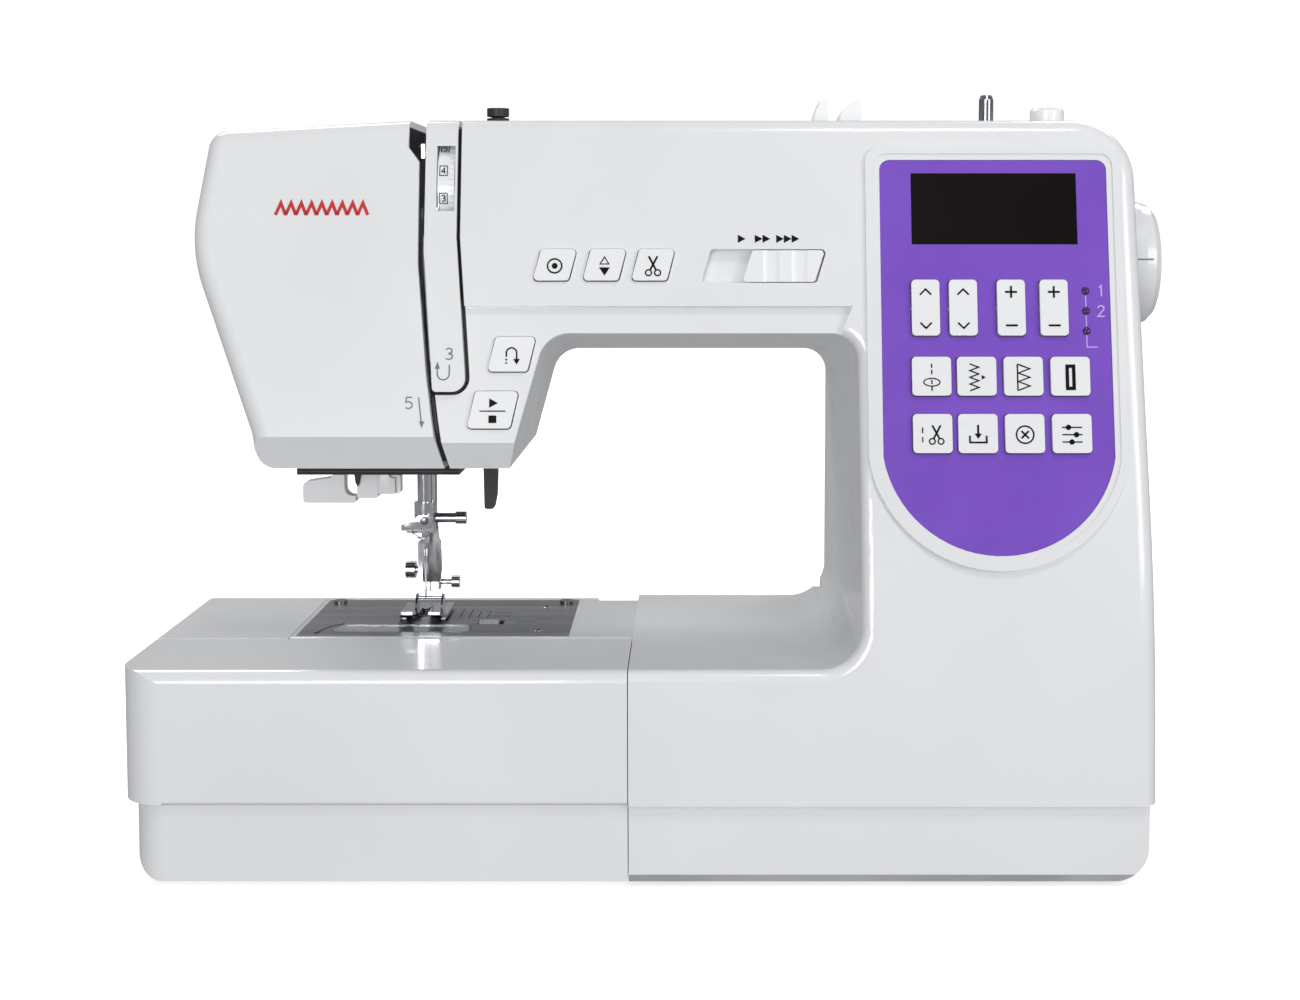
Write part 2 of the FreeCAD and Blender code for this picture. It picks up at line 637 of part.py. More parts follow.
def make_needle_side():
    bar = rod(Z_AXIS, "needle_line", "needle_depth", "122", "needle_bar_radius", "138")
    clamp = rod(Z_AXIS, "needle_line", "needle_depth", "121", "4.6", "13")
    screw = rod(X_AXIS, "needle_line + 3", "needle_depth", "127", "2.1", "13")
    grip = rod(X_AXIS, "needle_line + 13.4", "needle_depth", "127", "2.7", "4.4")
    hook_guide = box("needle_line - 7.4", "needle_depth - 4.4", "121", "9", "3", "3")
    socket_hole = rod(Z_AXIS, "needle_line", "needle_depth", "116", "1.05", "12")
    stud = rod(X_AXIS, "needle_line - 2", "needle_depth", "236", "2.2", "10")
    link = box("needle_line + 5", "needle_depth - 3", "214", "2.6", "6", "25")
    subpart("needle_bar", cut(fuse(bar, clamp, screw, grip, hook_guide, stud, link), socket_hole))
    needle = turned_body([("0", "0"), ("0.42", "3"), ("0.42", "23"), ("1.0", "26"), ("1.0", "38"),
                          ("0", "38")])
    subpart("needle", place(needle, "needle_line", "needle_depth", "89.8"))

    bar = rod(Z_AXIS, "needle_line", "presser_depth", "101", "presser_bar_radius", "140")
    collar = box("needle_line - 6", "presser_depth - 5", "196", "18", "10", "9")
    subpart("presser_bar", fuse(bar, collar))
    ankle = box("needle_line - 4.4", "presser_depth - 6", "93.6", "8.8", "10.2", "21")
    sleeve = rod(Z_AXIS, "needle_line", "presser_depth", "93.6", "4.9", "21")
    slot = rod(Z_AXIS, "needle_line", "presser_depth", "100.9", "presser_bar_radius + 0.02", "30")
    thumb = rod(X_AXIS, "needle_line - 10.4", "presser_depth", "102", "3.8", "4.2")
    thumb_shank = rod(X_AXIS, "needle_line - 7", "presser_depth", "102", "1.8", "3.4")
    lever = rod(X_AXIS, "needle_line + 4", "presser_depth", "96.6", "1.2", "7")
    lever_knob = rod(X_AXIS, "needle_line + 9.6", "presser_depth", "96.6", "2.7", "3.4")
    subpart("foot_holder", cut(fuse(ankle, sleeve, thumb, thumb_shank, lever, lever_knob), slot))
    sole = block((-114.2, -3, 85.3), (-91.8, 31, 87.3)).cut(block((-107.2, 10.8, 80), (-98.8, 17.2, 90)))
    toes = block((-105.2, -6, 80), (-100.8, 5, 90))
    sole = sole.cut(toes)
    ears = [block((x, 17.6, 86), (x + 1.6, 24, 92.6)) for x in (-109.6, -98)]
    pin = Part.makeCylinder(0.9, 11, Vector(-108.8, 21, 91.2), X_AXIS)
    foot = sole.fuse(ears + [pin])
    solid_feature("presser_foot", foot)

    blade = prism([(-79.6, 176), (-79.8, 150), (-79.4, 128), (-75.2, 128), (-74.0, 134), (-73.4, 150),
                   (-73.6, 176)], {2: 1, 3: 1.4, 4: 6}, "Y", 32, 38)
    hub = Part.makeCylinder(6, 9, Vector(-76.8, 30.5, 173), Y_AXIS)
    solid_feature("presser_foot_lifter", blade.fuse(hub).removeSplitter())

    depth = size("needle_depth")
    body = prism([(-131.6, 136), (-122.6, 136), (-122.6, 198), (-131.6, 198)], {0: 1.2, 1: 1.2}, "Y",
                 depth - 4, depth + 4)
    head = prism([(-123, 138), (-113, 138), (-113, 146), (-123, 146)], {1: 1, 2: 1}, "Y",
                 depth - 3, depth + 3)
    solid_feature("needle_threader", body.fuse(head).removeSplitter())
    lever = prism([(-154.8, 134), (-132.2, 134), (-132.2, 137), (-137, 137), (-137, 176), (-142, 176),
                   (-142, 145), (-154.8, 143)], {0: 1.4, 1: 1, 3: 3.5, 6: 1.6, 7: 2.2}, "Y",
                  depth - 4, depth + 4)
    solid_feature("buttonhole_lever", lever)
    solid_feature("head_underplate", prism([(-40, 152.6), (-12, 152.6), (-12, 157.9), (-38, 157.9)],
                                           {0: 1.4, 1: 1.4}, "X", -146.5, -81.3))

    lever = block((-93.8, -12, 249), (-92.5, -4, 284)).fuse(block((-93.8, -48, 279), (-92.5, -6, 284.4)))
    eye = Part.makeCylinder(1.3, 4, Vector(-95, -45, 281.6), X_AXIS)
    hub_solid = Part.makeCylinder(5.5, 6, Vector(-96.5, -8, 251), X_AXIS)
    solid_feature("take_up_lever", lever.fuse(hub_solid).cut(eye))


def make_drive():
    """Shafts, pulleys, belt loop, motor and handwheel. Every turning piece is centred on its shaft."""
    shaft = turned_body([("0", "0"), ("15", "0"), ("15", "6"), ("shaft_radius", "6"),
                         ("shaft_radius", "224"), ("pulley_radius + 1.6", "224"),
                         ("pulley_radius + 1.6", "225"), ("pulley_radius", "225"),
                         ("pulley_radius", "234"), ("pulley_radius + 1.6", "234"),
                         ("pulley_radius + 1.6", "235"), ("shaft_radius", "235"),
                         ("shaft_radius", "280"), ("0", "280")])
    place(shaft, "-86", "shaft_depth", "shaft_height", Rotation(Z_AXIS, X_AXIS))
    doc.recompute()
    crank_pin = rod(X_AXIS, "-90", "shaft_depth + 10", "shaft_height", "2.4", "6")
    subpart("upper_shaft", fuse(shaft, crank_pin))
    lower = turned_body([("0", "0"), ("11", "0"), ("11", "8"), ("shaft_radius", "8"),
                         ("shaft_radius", "243"), ("pulley_radius + 1.6", "243"),
                         ("pulley_radius + 1.6", "244"), ("pulley_radius", "244"),
                         ("pulley_radius", "253"), ("pulley_radius + 1.6", "253"),
                         ("pulley_radius + 1.6", "254"), ("shaft_radius", "254"),
                         ("shaft_radius", "270"), ("0", "270")])
    place(lower, "-105", "lower_depth", "lower_height", Rotation(Z_AXIS, X_AXIS))
    subpart("lower_shaft", lower)

    start, end = size("-86 + 225.4"), size("-86 + 233.6")
    high = Vector(start, size("shaft_depth"), size("shaft_height"))
    low = Vector(start, size("lower_depth"), size("lower_height"))

    def loop(radius):
        across = (high - low).cross(X_AXIS).normalize() * radius
        sides = Part.Face(Part.makePolygon([high + across, low + across, low - across, high - across,
                                            high + across])).extrude(X_AXIS * (end - start))
        ends = [Part.makeCylinder(radius, end - start, centre, X_AXIS) for centre in (high, low)]
        return sides.fuse(ends)

    inside = size("pulley_radius") + 0.3
    solid_feature("timing_belt", loop(inside + 1.2).cut(loop(inside)).removeSplitter())

    motor = rod(X_AXIS, "96", "-48", "62", "21", "46")
    stub = rod(X_AXIS, "142", "-48", "62", "3", "12")
    pulley = rod(X_AXIS, "146", "-48", "62", "7", "7")
    bracket = box("104", "-66", "foot_height + wall", "30", "36", "50")
    subpart("main_motor", fuse(motor, stub, pulley, bracket))

    wheel = turned_body([("shaft_radius", "0"), ("wheel_radius - 6", "0"), ("wheel_radius - 1", "0.6"),
                         ("wheel_radius", "2"), ("wheel_radius", "10"), ("wheel_radius - 1.2", "14"),
                         ("wheel_radius - 4", "16.6"), ("wheel_radius - 9", "17.8"), ("0", "18"),
                         ("0", "8"), ("shaft_radius", "8")])
    place(wheel, "wheel_end - 18", "shaft_depth", "shaft_height", Rotation(Z_AXIS, X_AXIS))
    subpart("handwheel", wheel)


def make_frame_and_electronics():
    """Cast frame behind the mechanism, its bearing blocks, the circuit boards and the plate screws."""
    beam = block((-150, 36, 210), (160, 46, 272))
    beam = beam.cut(block((-60, 30, 220), (70, 60, 262)))
    column = block((90, 36, 8), (160, 46, 272)).cut(block((102, 30, 70), (148, 60, 196)))
    bed = block((-146, 36, 30), (160, 44, 62))
    upper_bearings = [block((x, -8, 226), (x + 10, 46, 248)) for x in (-70, 60, 164)]
    lower_bearings = [block((x, 2, 30), (x + 8, 44, 52)) for x in (-86, 110)]
    bore = size("shaft_radius") + 0.06
    upper_bore = Part.makeCylinder(bore, 300, Vector(-95, size("shaft_depth"), size("shaft_height")), X_AXIS)
    lower_bore = Part.makeCylinder(bore, 300, Vector(-110, size("lower_depth"), size("lower_height")),
                                   X_AXIS)
    bridge = block((150, 36, 226), (174, 46, 248))
    head = block((-120, 21, 176), (-86, 46, 184)).fuse(block((-120, 36, 176), (-94, 46, 232)))
    needle_bush = block((-112, 5, 176), (-96, 22, 184))
    feet = block((90, 30, size("foot_height") + size("wall")), (160, 60, 12))
    frame = beam.fuse([column, bed, bridge, head, needle_bush, feet] + upper_bearings + lower_bearings)
    frame = frame.cut(upper_bore).cut(lower_bore)
    line = size("needle_line")
    for depth, radius in ((size("needle_depth"), size("needle_bar_radius")),
                          (size("presser_depth"), size("presser_bar_radius"))):
        frame = frame.cut(Part.makeCylinder(radius + 0.06, 200, Vector(line, depth, 100)))
    solid_feature("machine_frame", frame.removeSplitter())

    panel_board = front_block([(90, 160), (170, 160), (170, 270), (90, 270)], -14, -12.4)
    main_board = block((92, 62, 80), (176, 63.6, 190))
    chips = [block((x, 58, z), (x + 12, 62.1, z + 9)) for x, z in ((100, 100), (130, 120), (110, 150))]
    solid_feature("circuit_boards", Part.makeCompound([panel_board, main_board.fuse(chips)]))

    panel = block((186.6, -31.9, 22.1), (189.2, 33.9, 61.9))
    inlet_hole = block((180, 2, 30), (200, 26, 50))
    jack_hole = Part.makeCylinder(3.2, 30, Vector(176, -8, 36), X_AXIS)
    switch_hole = block((180, -29, 27), (200, -15, 57))
    inlet_cup = block((172, 0, 28), (188, 28, 52)).cut(block((174, 2, 30), (200, 26, 50)))
    contacts = [Part.makeCylinder(1.2, 10, Vector(173, y, 40), X_AXIS) for y in (9, 19)]
    jack_cup = Part.makeCylinder(5, 14, Vector(173.4, -8, 36), X_AXIS).cut(
        Part.makeCylinder(3.2, 30, Vector(175, -8, 36), X_AXIS))
    switch_cup = block((176, -30.4, 25.6), (187, -13.6, 58.4)).cut(block((178, -29, 27), (200, -15, 57)))
    panel = panel.cut(inlet_hole).cut(jack_hole).cut(switch_hole)
    panel = panel.fuse([inlet_cup, jack_cup, switch_cup] + contacts)
    pivot, pivot_radius = Vector(185.4, -29.8, 42), 1.4
    panel = panel.cut(Part.makeCylinder(pivot_radius + 0.06, 15.6, pivot, Y_AXIS))
    solid_feature("socket_panel", panel)
    rocker = prism([(188.2, 28.2), (190.6, 28.6), (189.2, 42), (190.6, 55.4), (188.2, 55.8), (181, 46),
                    (181, 38)], {}, "Y", -28.4, -15.6)
    pin = Part.makeCylinder(pivot_radius, 15.2, pivot + Y_AXIS * 0.2, Y_AXIS)
    solid_feature("power_switch", rocker.fuse(pin))

    feet = [Part.makeCone(7, 8, size("foot_height"), Vector(x, y, 0)) for x, y in
            ((4, -70), (4, 44), (172, -70), (172, 68))]
    solid_feature("rubber_feet", Part.makeCompound(feet))


def make_top():
    pin = turned_body([("0", "0"), ("winder_radius - 0.5", "0"), ("winder_radius - 0.5", "23.4"),
                       ("winder_radius + 2", "23.4"), ("winder_radius + 2", "24.2"), ("winder_radius", "24.2"),
                       ("winder_radius", "34.2"), ("winder_radius - 0.8", "36"), ("0", "36")])
    subpart("winder_spindle", place(pin, "%s" % WINDER_LINE, "0", "271"))
    stopper = turned_body([("0", "0"), ("7", "0"), ("7", "6.4"), ("6", "7.6"), ("0", "7.8")])
    place(stopper, "160.6", "0", "top_height")
    guides = []
    top = size("top_height")
    for left, right in ((62.4, 68.8), (73.0, 82.6)):
        fin = prism([(left, top), (right, top), (right - 0.6, top + 10.4), (right - 3.4, top + 10.4),
                     (left + 0.8, top + 5)], {2: 1.0, 3: 1.2, 4: 6}, "Y", -9, 9)
        slit = block((left - 1, -4.5, top + 2.4), (right - 1.8, 4.5, top + 20))
        guides.append(fin.cut(slit))
    doc.recompute()
    solid_feature("top_fittings", Part.makeCompound(guides + [stopper.Shape]))
    disc = turned_body([("0", "0"), ("2", "0"), ("2", "2.2"), ("4.6", "2.6"), ("4.6", "3.4"),
                        ("2", "3.8"), ("4.6", "4.2"), ("4.6", "7.6"), ("0", "7.6")])
    subpart("winding_tension_disc", place(disc, "-68.7", "0", "294"))
    low, high = 281.5, 291.5
    bar = block((-48, 54, low), (58, 66, high))
    bar = bar.makeFillet(3, bar.Edges)
    arms = [block((x, 24, low + 2), (x + 9, 56, high - 1)) for x in (-48, 49)]
    pins = [Part.makeCylinder(2, 4, Vector(x, 28, 287), X_AXIS) for x in (-51.7, 57.7)]
    solid_feature("carrying_handle", bar.fuse(arms + pins).removeSplitter())
    dial = turned_body([("3", "0"), ("dial_radius", "0"), ("dial_radius", "6.6"), ("3", "6.6")])
    dial.Placement = Placement(on_front(size("dial_middle") - 3.3, size("dial_height"),
                                        -size("dial_radius") - 0.5), Rotation(Z_AXIS, X_AXIS))
    subpart("tension_dial", dial)


# ------------------------------------------------------------- panel and its keys

def key_hole(x, z, width, height, low, high, corner):
    solid = prism([(-width / 2, -height / 2), (width / 2, -height / 2), (width / 2, height / 2),
                   (-width / 2, height / 2)], {n: corner for n in range(4)}, "Z", low, high)
    solid.Placement = Placement(on_front(x, z), FRONT)
    return solid


def make_panel():
    plate = panel_solid(0, -2.4, 0.3)
    window = front_block([(97.6, 245.2), (162.1, 245.2), (162.1, 272.9), (97.6, 272.9)], -6, 6)
    plate = plate.cut(window)
    side, wide, tall = size("key_side"), size("rocker_width"), size("rocker_height")
    places = [("pattern_key_%d" % (4 * row + column + 1), x, z, side, side)
              for row, z in enumerate(KEY_ROWS) for column, x in enumerate(KEY_COLUMNS)]
    places += [("rocker_key_%d" % (number + 1), x, ROCKER_LINE, wide, tall)
               for number, x in enumerate(ROCKER_COLUMNS)]
    for name, x, z, width, height in places:
        plate = plate.cut(key_hole(x, z, width + 0.7, height + 0.7, -6, 6, 2.0))
    reach = wide / 2 + PIN_REACH
    for x in ROCKER_COLUMNS:
        plate = plate.cut(Part.makeCylinder(PIN_RADIUS + 0.06, 2 * reach + 0.2,
                                            on_front(x - reach - 0.1, ROCKER_LINE, PIN_DEPTH), X_AXIS))
    solid_feature("control_panel", plate)
    solid_feature("display_window", front_block([(97.65, 245.25), (162.05, 245.25), (162.05, 272.85),
                                                 (97.65, 272.85)], -2.4, 0.15))
    for name, x, z, width, height in places:
        key = padded_body(rectangle("%s" % width, "%s" % height), "key_thick", 1.6, chosen=upright)
        key.Placement = Placement(on_front(x, z, -2.3), FRONT)
        if name.startswith("rocker"):
            pin = doc.addObject("Part::Cylinder", "pin")
            bind(pin, Radius="%s" % PIN_RADIUS, Height="rocker_width + %s" % (2 * PIN_REACH))
            pin.Placement = Placement(on_front(x - reach, z, PIN_DEPTH), Rotation(Z_AXIS, X_AXIS))
            key = fuse(key, pin)
        subpart(name, key)


GROOVE_RADIUS = 7


def make_buttons():
    for name in BUTTONS:
        body = button_solid(name, 0, 0, size("button_thick"))
        outward = body.Placement.Rotation.multVec(Z_AXIS)
        body.translate(outward * -3.6)
        solid_feature(name, body)
    knob = prism(slider_corners(33.4, 62.3, -0.4), {n: 1.3 for n in range(4)}, "Y", -120, -20)
    face = housing_solid(0).common(knob)
    deeper = face.copy()
    deeper.translate(Vector(0, 3.0, 0))
    cap = face.cut(deeper)
    for x in (43.0, 54.0):
        frame = Placement(on_front(x, 246), FRONT)
        groove = Part.makeCylinder(GROOVE_RADIUS, 30)
        groove.Placement = Placement(frame.Base + frame.Rotation.multVec(Z_AXIS) * (GROOVE_RADIUS - 0.7),
                                     frame.Rotation.multiply(Rotation(Z_AXIS, Vector(0, -1, 0))))
        cap = cap.cut(groove)
    solid_feature("speed_slider", cap)


make_housing()
make_base_plate()
make_bed()
make_feed_and_hook()
make_needle_side()
make_drive()
make_frame_and_electronics()
make_top()
make_panel()
make_buttons()
doc.recompute()
for item in doc.Objects:
    if "Invalid" in item.State or "Error" in item.State:
        raise RuntimeError("failed object: " + item.Label)
for item in subparts:
    if item.Shape.isNull() or not item.Shape.isValid():
        raise RuntimeError("bad shape: " + item.Label)
    print(item.Label, len(item.Shape.Solids), round(item.Shape.Volume))
os.makedirs("parts", exist_ok=True)
for item in subparts:
    item.Shape.exportStep("parts/%s.step" % item.Label)
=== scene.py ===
import bmesh
import bpy
import json
import math
from mathutils import Matrix, Vector
from mathutils.bvhtree import BVHTree


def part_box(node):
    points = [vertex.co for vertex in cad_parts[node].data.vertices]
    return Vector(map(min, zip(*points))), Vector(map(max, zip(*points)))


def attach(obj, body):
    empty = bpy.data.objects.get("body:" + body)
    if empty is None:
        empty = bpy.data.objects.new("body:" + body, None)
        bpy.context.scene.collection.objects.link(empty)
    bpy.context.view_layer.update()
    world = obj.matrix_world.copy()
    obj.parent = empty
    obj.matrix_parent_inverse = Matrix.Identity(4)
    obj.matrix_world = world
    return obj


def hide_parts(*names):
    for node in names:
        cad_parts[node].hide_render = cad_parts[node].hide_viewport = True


# Sewing machine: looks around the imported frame. Lengths are millimetres, and MM turns
# them into scene metres; the materials, stage, lights and camera are in metres.
MM = 0.001

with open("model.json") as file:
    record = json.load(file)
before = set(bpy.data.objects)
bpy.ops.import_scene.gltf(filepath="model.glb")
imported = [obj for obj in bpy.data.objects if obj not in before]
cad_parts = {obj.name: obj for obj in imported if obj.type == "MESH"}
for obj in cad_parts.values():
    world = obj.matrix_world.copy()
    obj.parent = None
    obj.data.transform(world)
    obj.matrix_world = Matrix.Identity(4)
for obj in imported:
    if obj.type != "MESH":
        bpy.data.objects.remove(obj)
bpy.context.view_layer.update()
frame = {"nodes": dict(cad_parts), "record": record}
nodes = frame["nodes"]
BODY_OF = {node: body for body, members in frame["record"]["behaviour"]["bodies"].items()
           for node in members}


# ---------------------------------------------------------------- materials

class Shader:
    """One Principled material whose colour, roughness and bump come from noise."""

    def __init__(self, name, roughness, metallic=0.0):
        self.material = bpy.data.materials.new(name)
        self.material.use_nodes = True
        self.tree = self.material.node_tree
        self.surface = self.tree.nodes["Principled BSDF"]
        self.surface.inputs["Roughness"].default_value = roughness
        self.surface.inputs["Metallic"].default_value = metallic
        self.place = self.node("ShaderNodeTexCoord").outputs["Object"]

    def node(self, kind):
        return self.tree.nodes.new(kind)

    def link(self, start, end):
        self.tree.links.new(start, end)

    def stretched(self, scale):
        mapping = self.node("ShaderNodeMapping")
        mapping.inputs["Scale"].default_value = scale
        self.link(self.place, mapping.inputs["Vector"])
        return mapping.outputs["Vector"]

    def noise(self, scale, detail=4.0, stretch=None):
        noise = self.node("ShaderNodeTexNoise")
        noise.inputs["Scale"].default_value = scale
        noise.inputs["Detail"].default_value = detail
        self.link(self.stretched(stretch) if stretch else self.place, noise.inputs["Vector"])
        return noise.outputs["Fac"]

    def ramp(self, value, stops):
        ramp = self.node("ShaderNodeValToRGB")
        elements = ramp.color_ramp.elements
        while len(elements) < len(stops):
            elements.new(0.5)
        for element, (position, colour) in zip(elements, stops):
            element.position = position
            element.color = (*colour, 1.0)
        self.link(value, ramp.inputs["Fac"])
        return ramp.outputs["Color"]

    def spread(self, value, low, high):
        spread = self.node("ShaderNodeMapRange")
        spread.inputs["To Min"].default_value = low
        spread.inputs["To Max"].default_value = high
        self.link(value, spread.inputs["Value"])
        return spread.outputs["Result"]

    def colours(self, value, dark, light, low=0.35, high=0.65):
        self.link(self.ramp(value, [(low, dark), (high, light)]), self.surface.inputs["Base Color"])
        return self

    def roughness(self, value, low, high):
        self.link(self.spread(value, low, high), self.surface.inputs["Roughness"])
        return self

    def bump(self, value, strength, distance=0.0002):
        bump = self.node("ShaderNodeBump")
        bump.inputs["Strength"].default_value = strength
        bump.inputs["Distance"].default_value = distance
        self.link(value, bump.inputs["Height"])
        self.link(bump.outputs["Normal"], self.surface.inputs["Normal"])
        return self

    def set(self, **values):
        for name, value in values.items():
            self.surface.inputs[name.replace("_", " ")].default_value = value
        return self


def glossy_plastic(name, dark, light, low=0.16, high=0.26, coat=0.35):
    """Moulded gloss plastic: faint tone drift, uneven polish and a fine orange peel."""
    shader = Shader(name, 0.2)
    shader.colours(shader.noise(9.0, 3.0), dark, light)
    shader.roughness(shader.noise(55.0, 6.0), low, high)
    shader.bump(shader.noise(900.0, 2.0), 0.035)
    return shader.set(Coat_Weight=coat, Coat_Roughness=0.06, IOR=1.5)


def satin_plastic(name, dark, light, low=0.42, high=0.58, grain=1400.0, strength=0.12):
    """Fine-grained satin plastic."""
    shader = Shader(name, 0.5)
    shader.colours(shader.noise(30.0, 5.0), dark, light)
    shader.roughness(shader.noise(120.0, 4.0), low, high)
    shader.bump(shader.noise(grain, 3.0), strength)
    return shader


def brushed_metal(name, dark, light, stretch, low=0.24, high=0.42, strength=0.10):
    """Metal with fine parallel brush lines along one axis."""
    shader = Shader(name, 0.3, metallic=1.0)
    lines = shader.noise(160.0, 8.0, stretch)
    shader.colours(lines, dark, light, 0.3, 0.7)
    shader.roughness(lines, low, high)
    shader.bump(lines, strength, 0.0001)
    return shader


def polished_metal(name, dark, light, low=0.06, high=0.2):
    """Plated metal with handling smudges."""
    shader = Shader(name, 0.12, metallic=1.0)
    shader.colours(shader.noise(60.0, 4.0), dark, light)
    shader.roughness(shader.noise(220.0, 6.0), low, high)
    shader.bump(shader.noise(1500.0, 2.0), 0.03)
    return shader


def clear_plastic(name, tint):
    shader = Shader(name, 0.08)
    shader.colours(shader.noise(40.0, 3.0), [c * 0.94 for c in tint], tint)
    shader.roughness(shader.noise(200.0, 4.0), 0.04, 0.12)
    shader.bump(shader.noise(500.0, 2.0), 0.02)
    return shader.set(Transmission_Weight=0.9, IOR=1.46)


def circuit_board(name):
    """Green solder mask with paler copper tracks beneath it."""
    shader = Shader(name, 0.35)
    tracks = shader.node("ShaderNodeTexBrick")
    tracks.inputs["Scale"].default_value = 160.0
    tracks.inputs["Color1"].default_value = (0.01, 0.09, 0.035, 1)
    tracks.inputs["Color2"].default_value = (0.012, 0.12, 0.045, 1)
    tracks.inputs["Mortar"].default_value = (0.03, 0.20, 0.08, 1)
    tracks.inputs["Mortar Size"].default_value = 0.012
    shader.link(shader.place, tracks.inputs["Vector"])
    shader.link(tracks.outputs["Color"], shader.surface.inputs["Base Color"])
    shader.roughness(shader.noise(90.0), 0.28, 0.45)
    shader.bump(tracks.outputs["Fac"], 0.2)
    return shader


def ribbed_rubber(name):
    """Matt rubber with fine cross ribs, as on a toothed belt."""
    shader = Shader(name, 0.8)
    ribs = shader.node("ShaderNodeTexWave")
    ribs.bands_direction = "Z"
    ribs.inputs["Scale"].default_value = 150.0
    shader.link(shader.place, ribs.inputs["Vector"])
    shader.colours(shader.noise(80.0), (0.012, 0.012, 0.012), (0.03, 0.03, 0.03))
    shader.roughness(shader.noise(150.0), 0.7, 0.9)
    shader.bump(ribs.outputs["Fac"], 0.4, 0.0004)
    return shader


WHITE_DARK, WHITE_LIGHT = (0.80, 0.81, 0.825), (0.84, 0.85, 0.862)
SHADERS = {
    "white_plastic": glossy_plastic("white_gloss", WHITE_DARK, WHITE_LIGHT),
    "arm_plastic": glossy_plastic("white_free_arm", (0.70, 0.71, 0.72), (0.74, 0.75, 0.76)),
    "key_plastic": glossy_plastic("white_key", (0.84, 0.85, 0.86), (0.88, 0.89, 0.90), 0.24, 0.34, 0.15),
    "purple_panel": satin_plastic("purple_film", (0.190, 0.074, 0.53), (0.210, 0.086, 0.57), 0.30, 0.40,
                                  2200.0, 0.05).set(Specular_IOR_Level=0.3, Coat_Weight=0.12,
                                                    Coat_Roughness=0.15),
    "display_black": glossy_plastic("display_glass", (0.005, 0.004, 0.005), (0.009, 0.007, 0.008),
                                    0.05, 0.1, 0.0).set(Specular_IOR_Level=0.12),
    "steel_plate": brushed_metal("brushed_plate", (0.20, 0.205, 0.215), (0.34, 0.345, 0.355),
                                 (0.02, 1.0, 1.0)),
    "chrome": polished_metal("bright_chrome", (0.55, 0.56, 0.58), (0.74, 0.75, 0.77)),
    "dark_steel": brushed_metal("ground_steel", (0.16, 0.16, 0.17), (0.30, 0.30, 0.31), (1.0, 0.05, 1.0)),
    "clear_plastic": clear_plastic("clear_acrylic", (0.86, 0.89, 0.91)),
    "black_plastic": satin_plastic("black_satin", (0.010, 0.010, 0.011), (0.022, 0.022, 0.024)),
    "grey_plastic": satin_plastic("grey_satin", (0.30, 0.31, 0.33), (0.38, 0.39, 0.41)),
    "cast_metal": satin_plastic("die_casting", (0.34, 0.35, 0.36), (0.46, 0.47, 0.48), 0.45, 0.65,
                                260.0, 0.35).set(Metallic=0.9),
    "belt_rubber": ribbed_rubber("toothed_belt"),
    "foot_rubber": satin_plastic("foot_rubber", (0.015, 0.015, 0.015), (0.04, 0.04, 0.04), 0.75, 0.9,
                                 700.0, 0.3),
    "board_green": circuit_board("solder_mask"),
}
# Inks: the shader of each print and the slot its pieces belong to.
INKS = {
    "black": (satin_plastic("print_black", (0.003, 0.003, 0.004), (0.007, 0.007, 0.008), 0.5, 0.6
                            ).set(Specular_IOR_Level=0.12), "black_plastic"),
    "grey": (satin_plastic("print_grey", (0.16, 0.16, 0.17), (0.20, 0.20, 0.21), 0.4, 0.5),
             "grey_plastic"),
    "lilac": (satin_plastic("print_lilac", (0.52, 0.40, 0.75), (0.60, 0.48, 0.82), 0.4, 0.5),
              "purple_panel"),
    "red": (satin_plastic("print_red", (0.50, 0.018, 0.022), (0.60, 0.025, 0.03), 0.3, 0.4),
            "white_plastic"),
    "white": (satin_plastic("print_white", (0.70, 0.70, 0.70), (0.78, 0.78, 0.78), 0.4, 0.5),
              "key_plastic"),
}
SMOKED_CHROME = polished_metal("smoked_chrome", (0.16, 0.165, 0.17), (0.32, 0.325, 0.335),
                               0.12, 0.26).material
LAMP_DARK = satin_plastic("lamp_tinted", (0.03, 0.012, 0.06), (0.05, 0.02, 0.09), 0.1, 0.2).material
OWN_LOOKS = {"tension_dial": SHADERS["key_plastic"].material,
             "winding_tension_disc": SHADERS["black_plastic"].material,
             "winder_spindle": SMOKED_CHROME}


def dress_cad_nodes():
    """Each CAD node wears its slot's material, unless it has a look of its own."""
    for entry in frame["record"]["subparts"]:
        node = entry["node"]
        materials = nodes[node].data.materials
        materials.clear()
        materials.append(OWN_LOOKS.get(node, SHADERS[entry["material_slot"]].material))


# ---------------------------------------------------------------- mesh helpers

SHARP_ANGLE = math.radians(35.0)


def make_piece(name, mesh, body, slot, material=None):
    """Links a mesh as a piece that rides on a body, in its slot's material unless one is given."""
    piece = bpy.data.objects.new(name, mesh)
    bpy.context.scene.collection.objects.link(piece)
    mesh.materials.clear()
    mesh.materials.append(material or SHADERS[slot].material)
    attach(piece, body)
    return piece


def from_bmesh(name, shape, smooth=False):
    bmesh.ops.recalc_face_normals(shape, faces=shape.faces)
    mesh = bpy.data.meshes.new(name)
    shape.to_mesh(mesh)
    shape.free()
    if smooth:
        for face in mesh.polygons:
            face.use_smooth = True
        mesh.set_sharp_from_angle(angle=SHARP_ANGLE)
    return mesh


def join_rings(shape, rings):
    """Faces between each ring of corners and the next."""
    for lower, upper in zip(rings, rings[1:]):
        for n in range(len(lower)):
            following = (n + 1) % len(lower)
            shape.faces.new((lower[n], lower[following], upper[following], upper[n]))


def add_prism(shape, low_points, high_points):
    """Closed solid between two outlines that have equally many points."""
    low = [shape.verts.new(point) for point in low_points]
    high = [shape.verts.new(point) for point in high_points]
    shape.faces.new(high)
    shape.faces.new(low[::-1])
    join_rings(shape, [low, high])


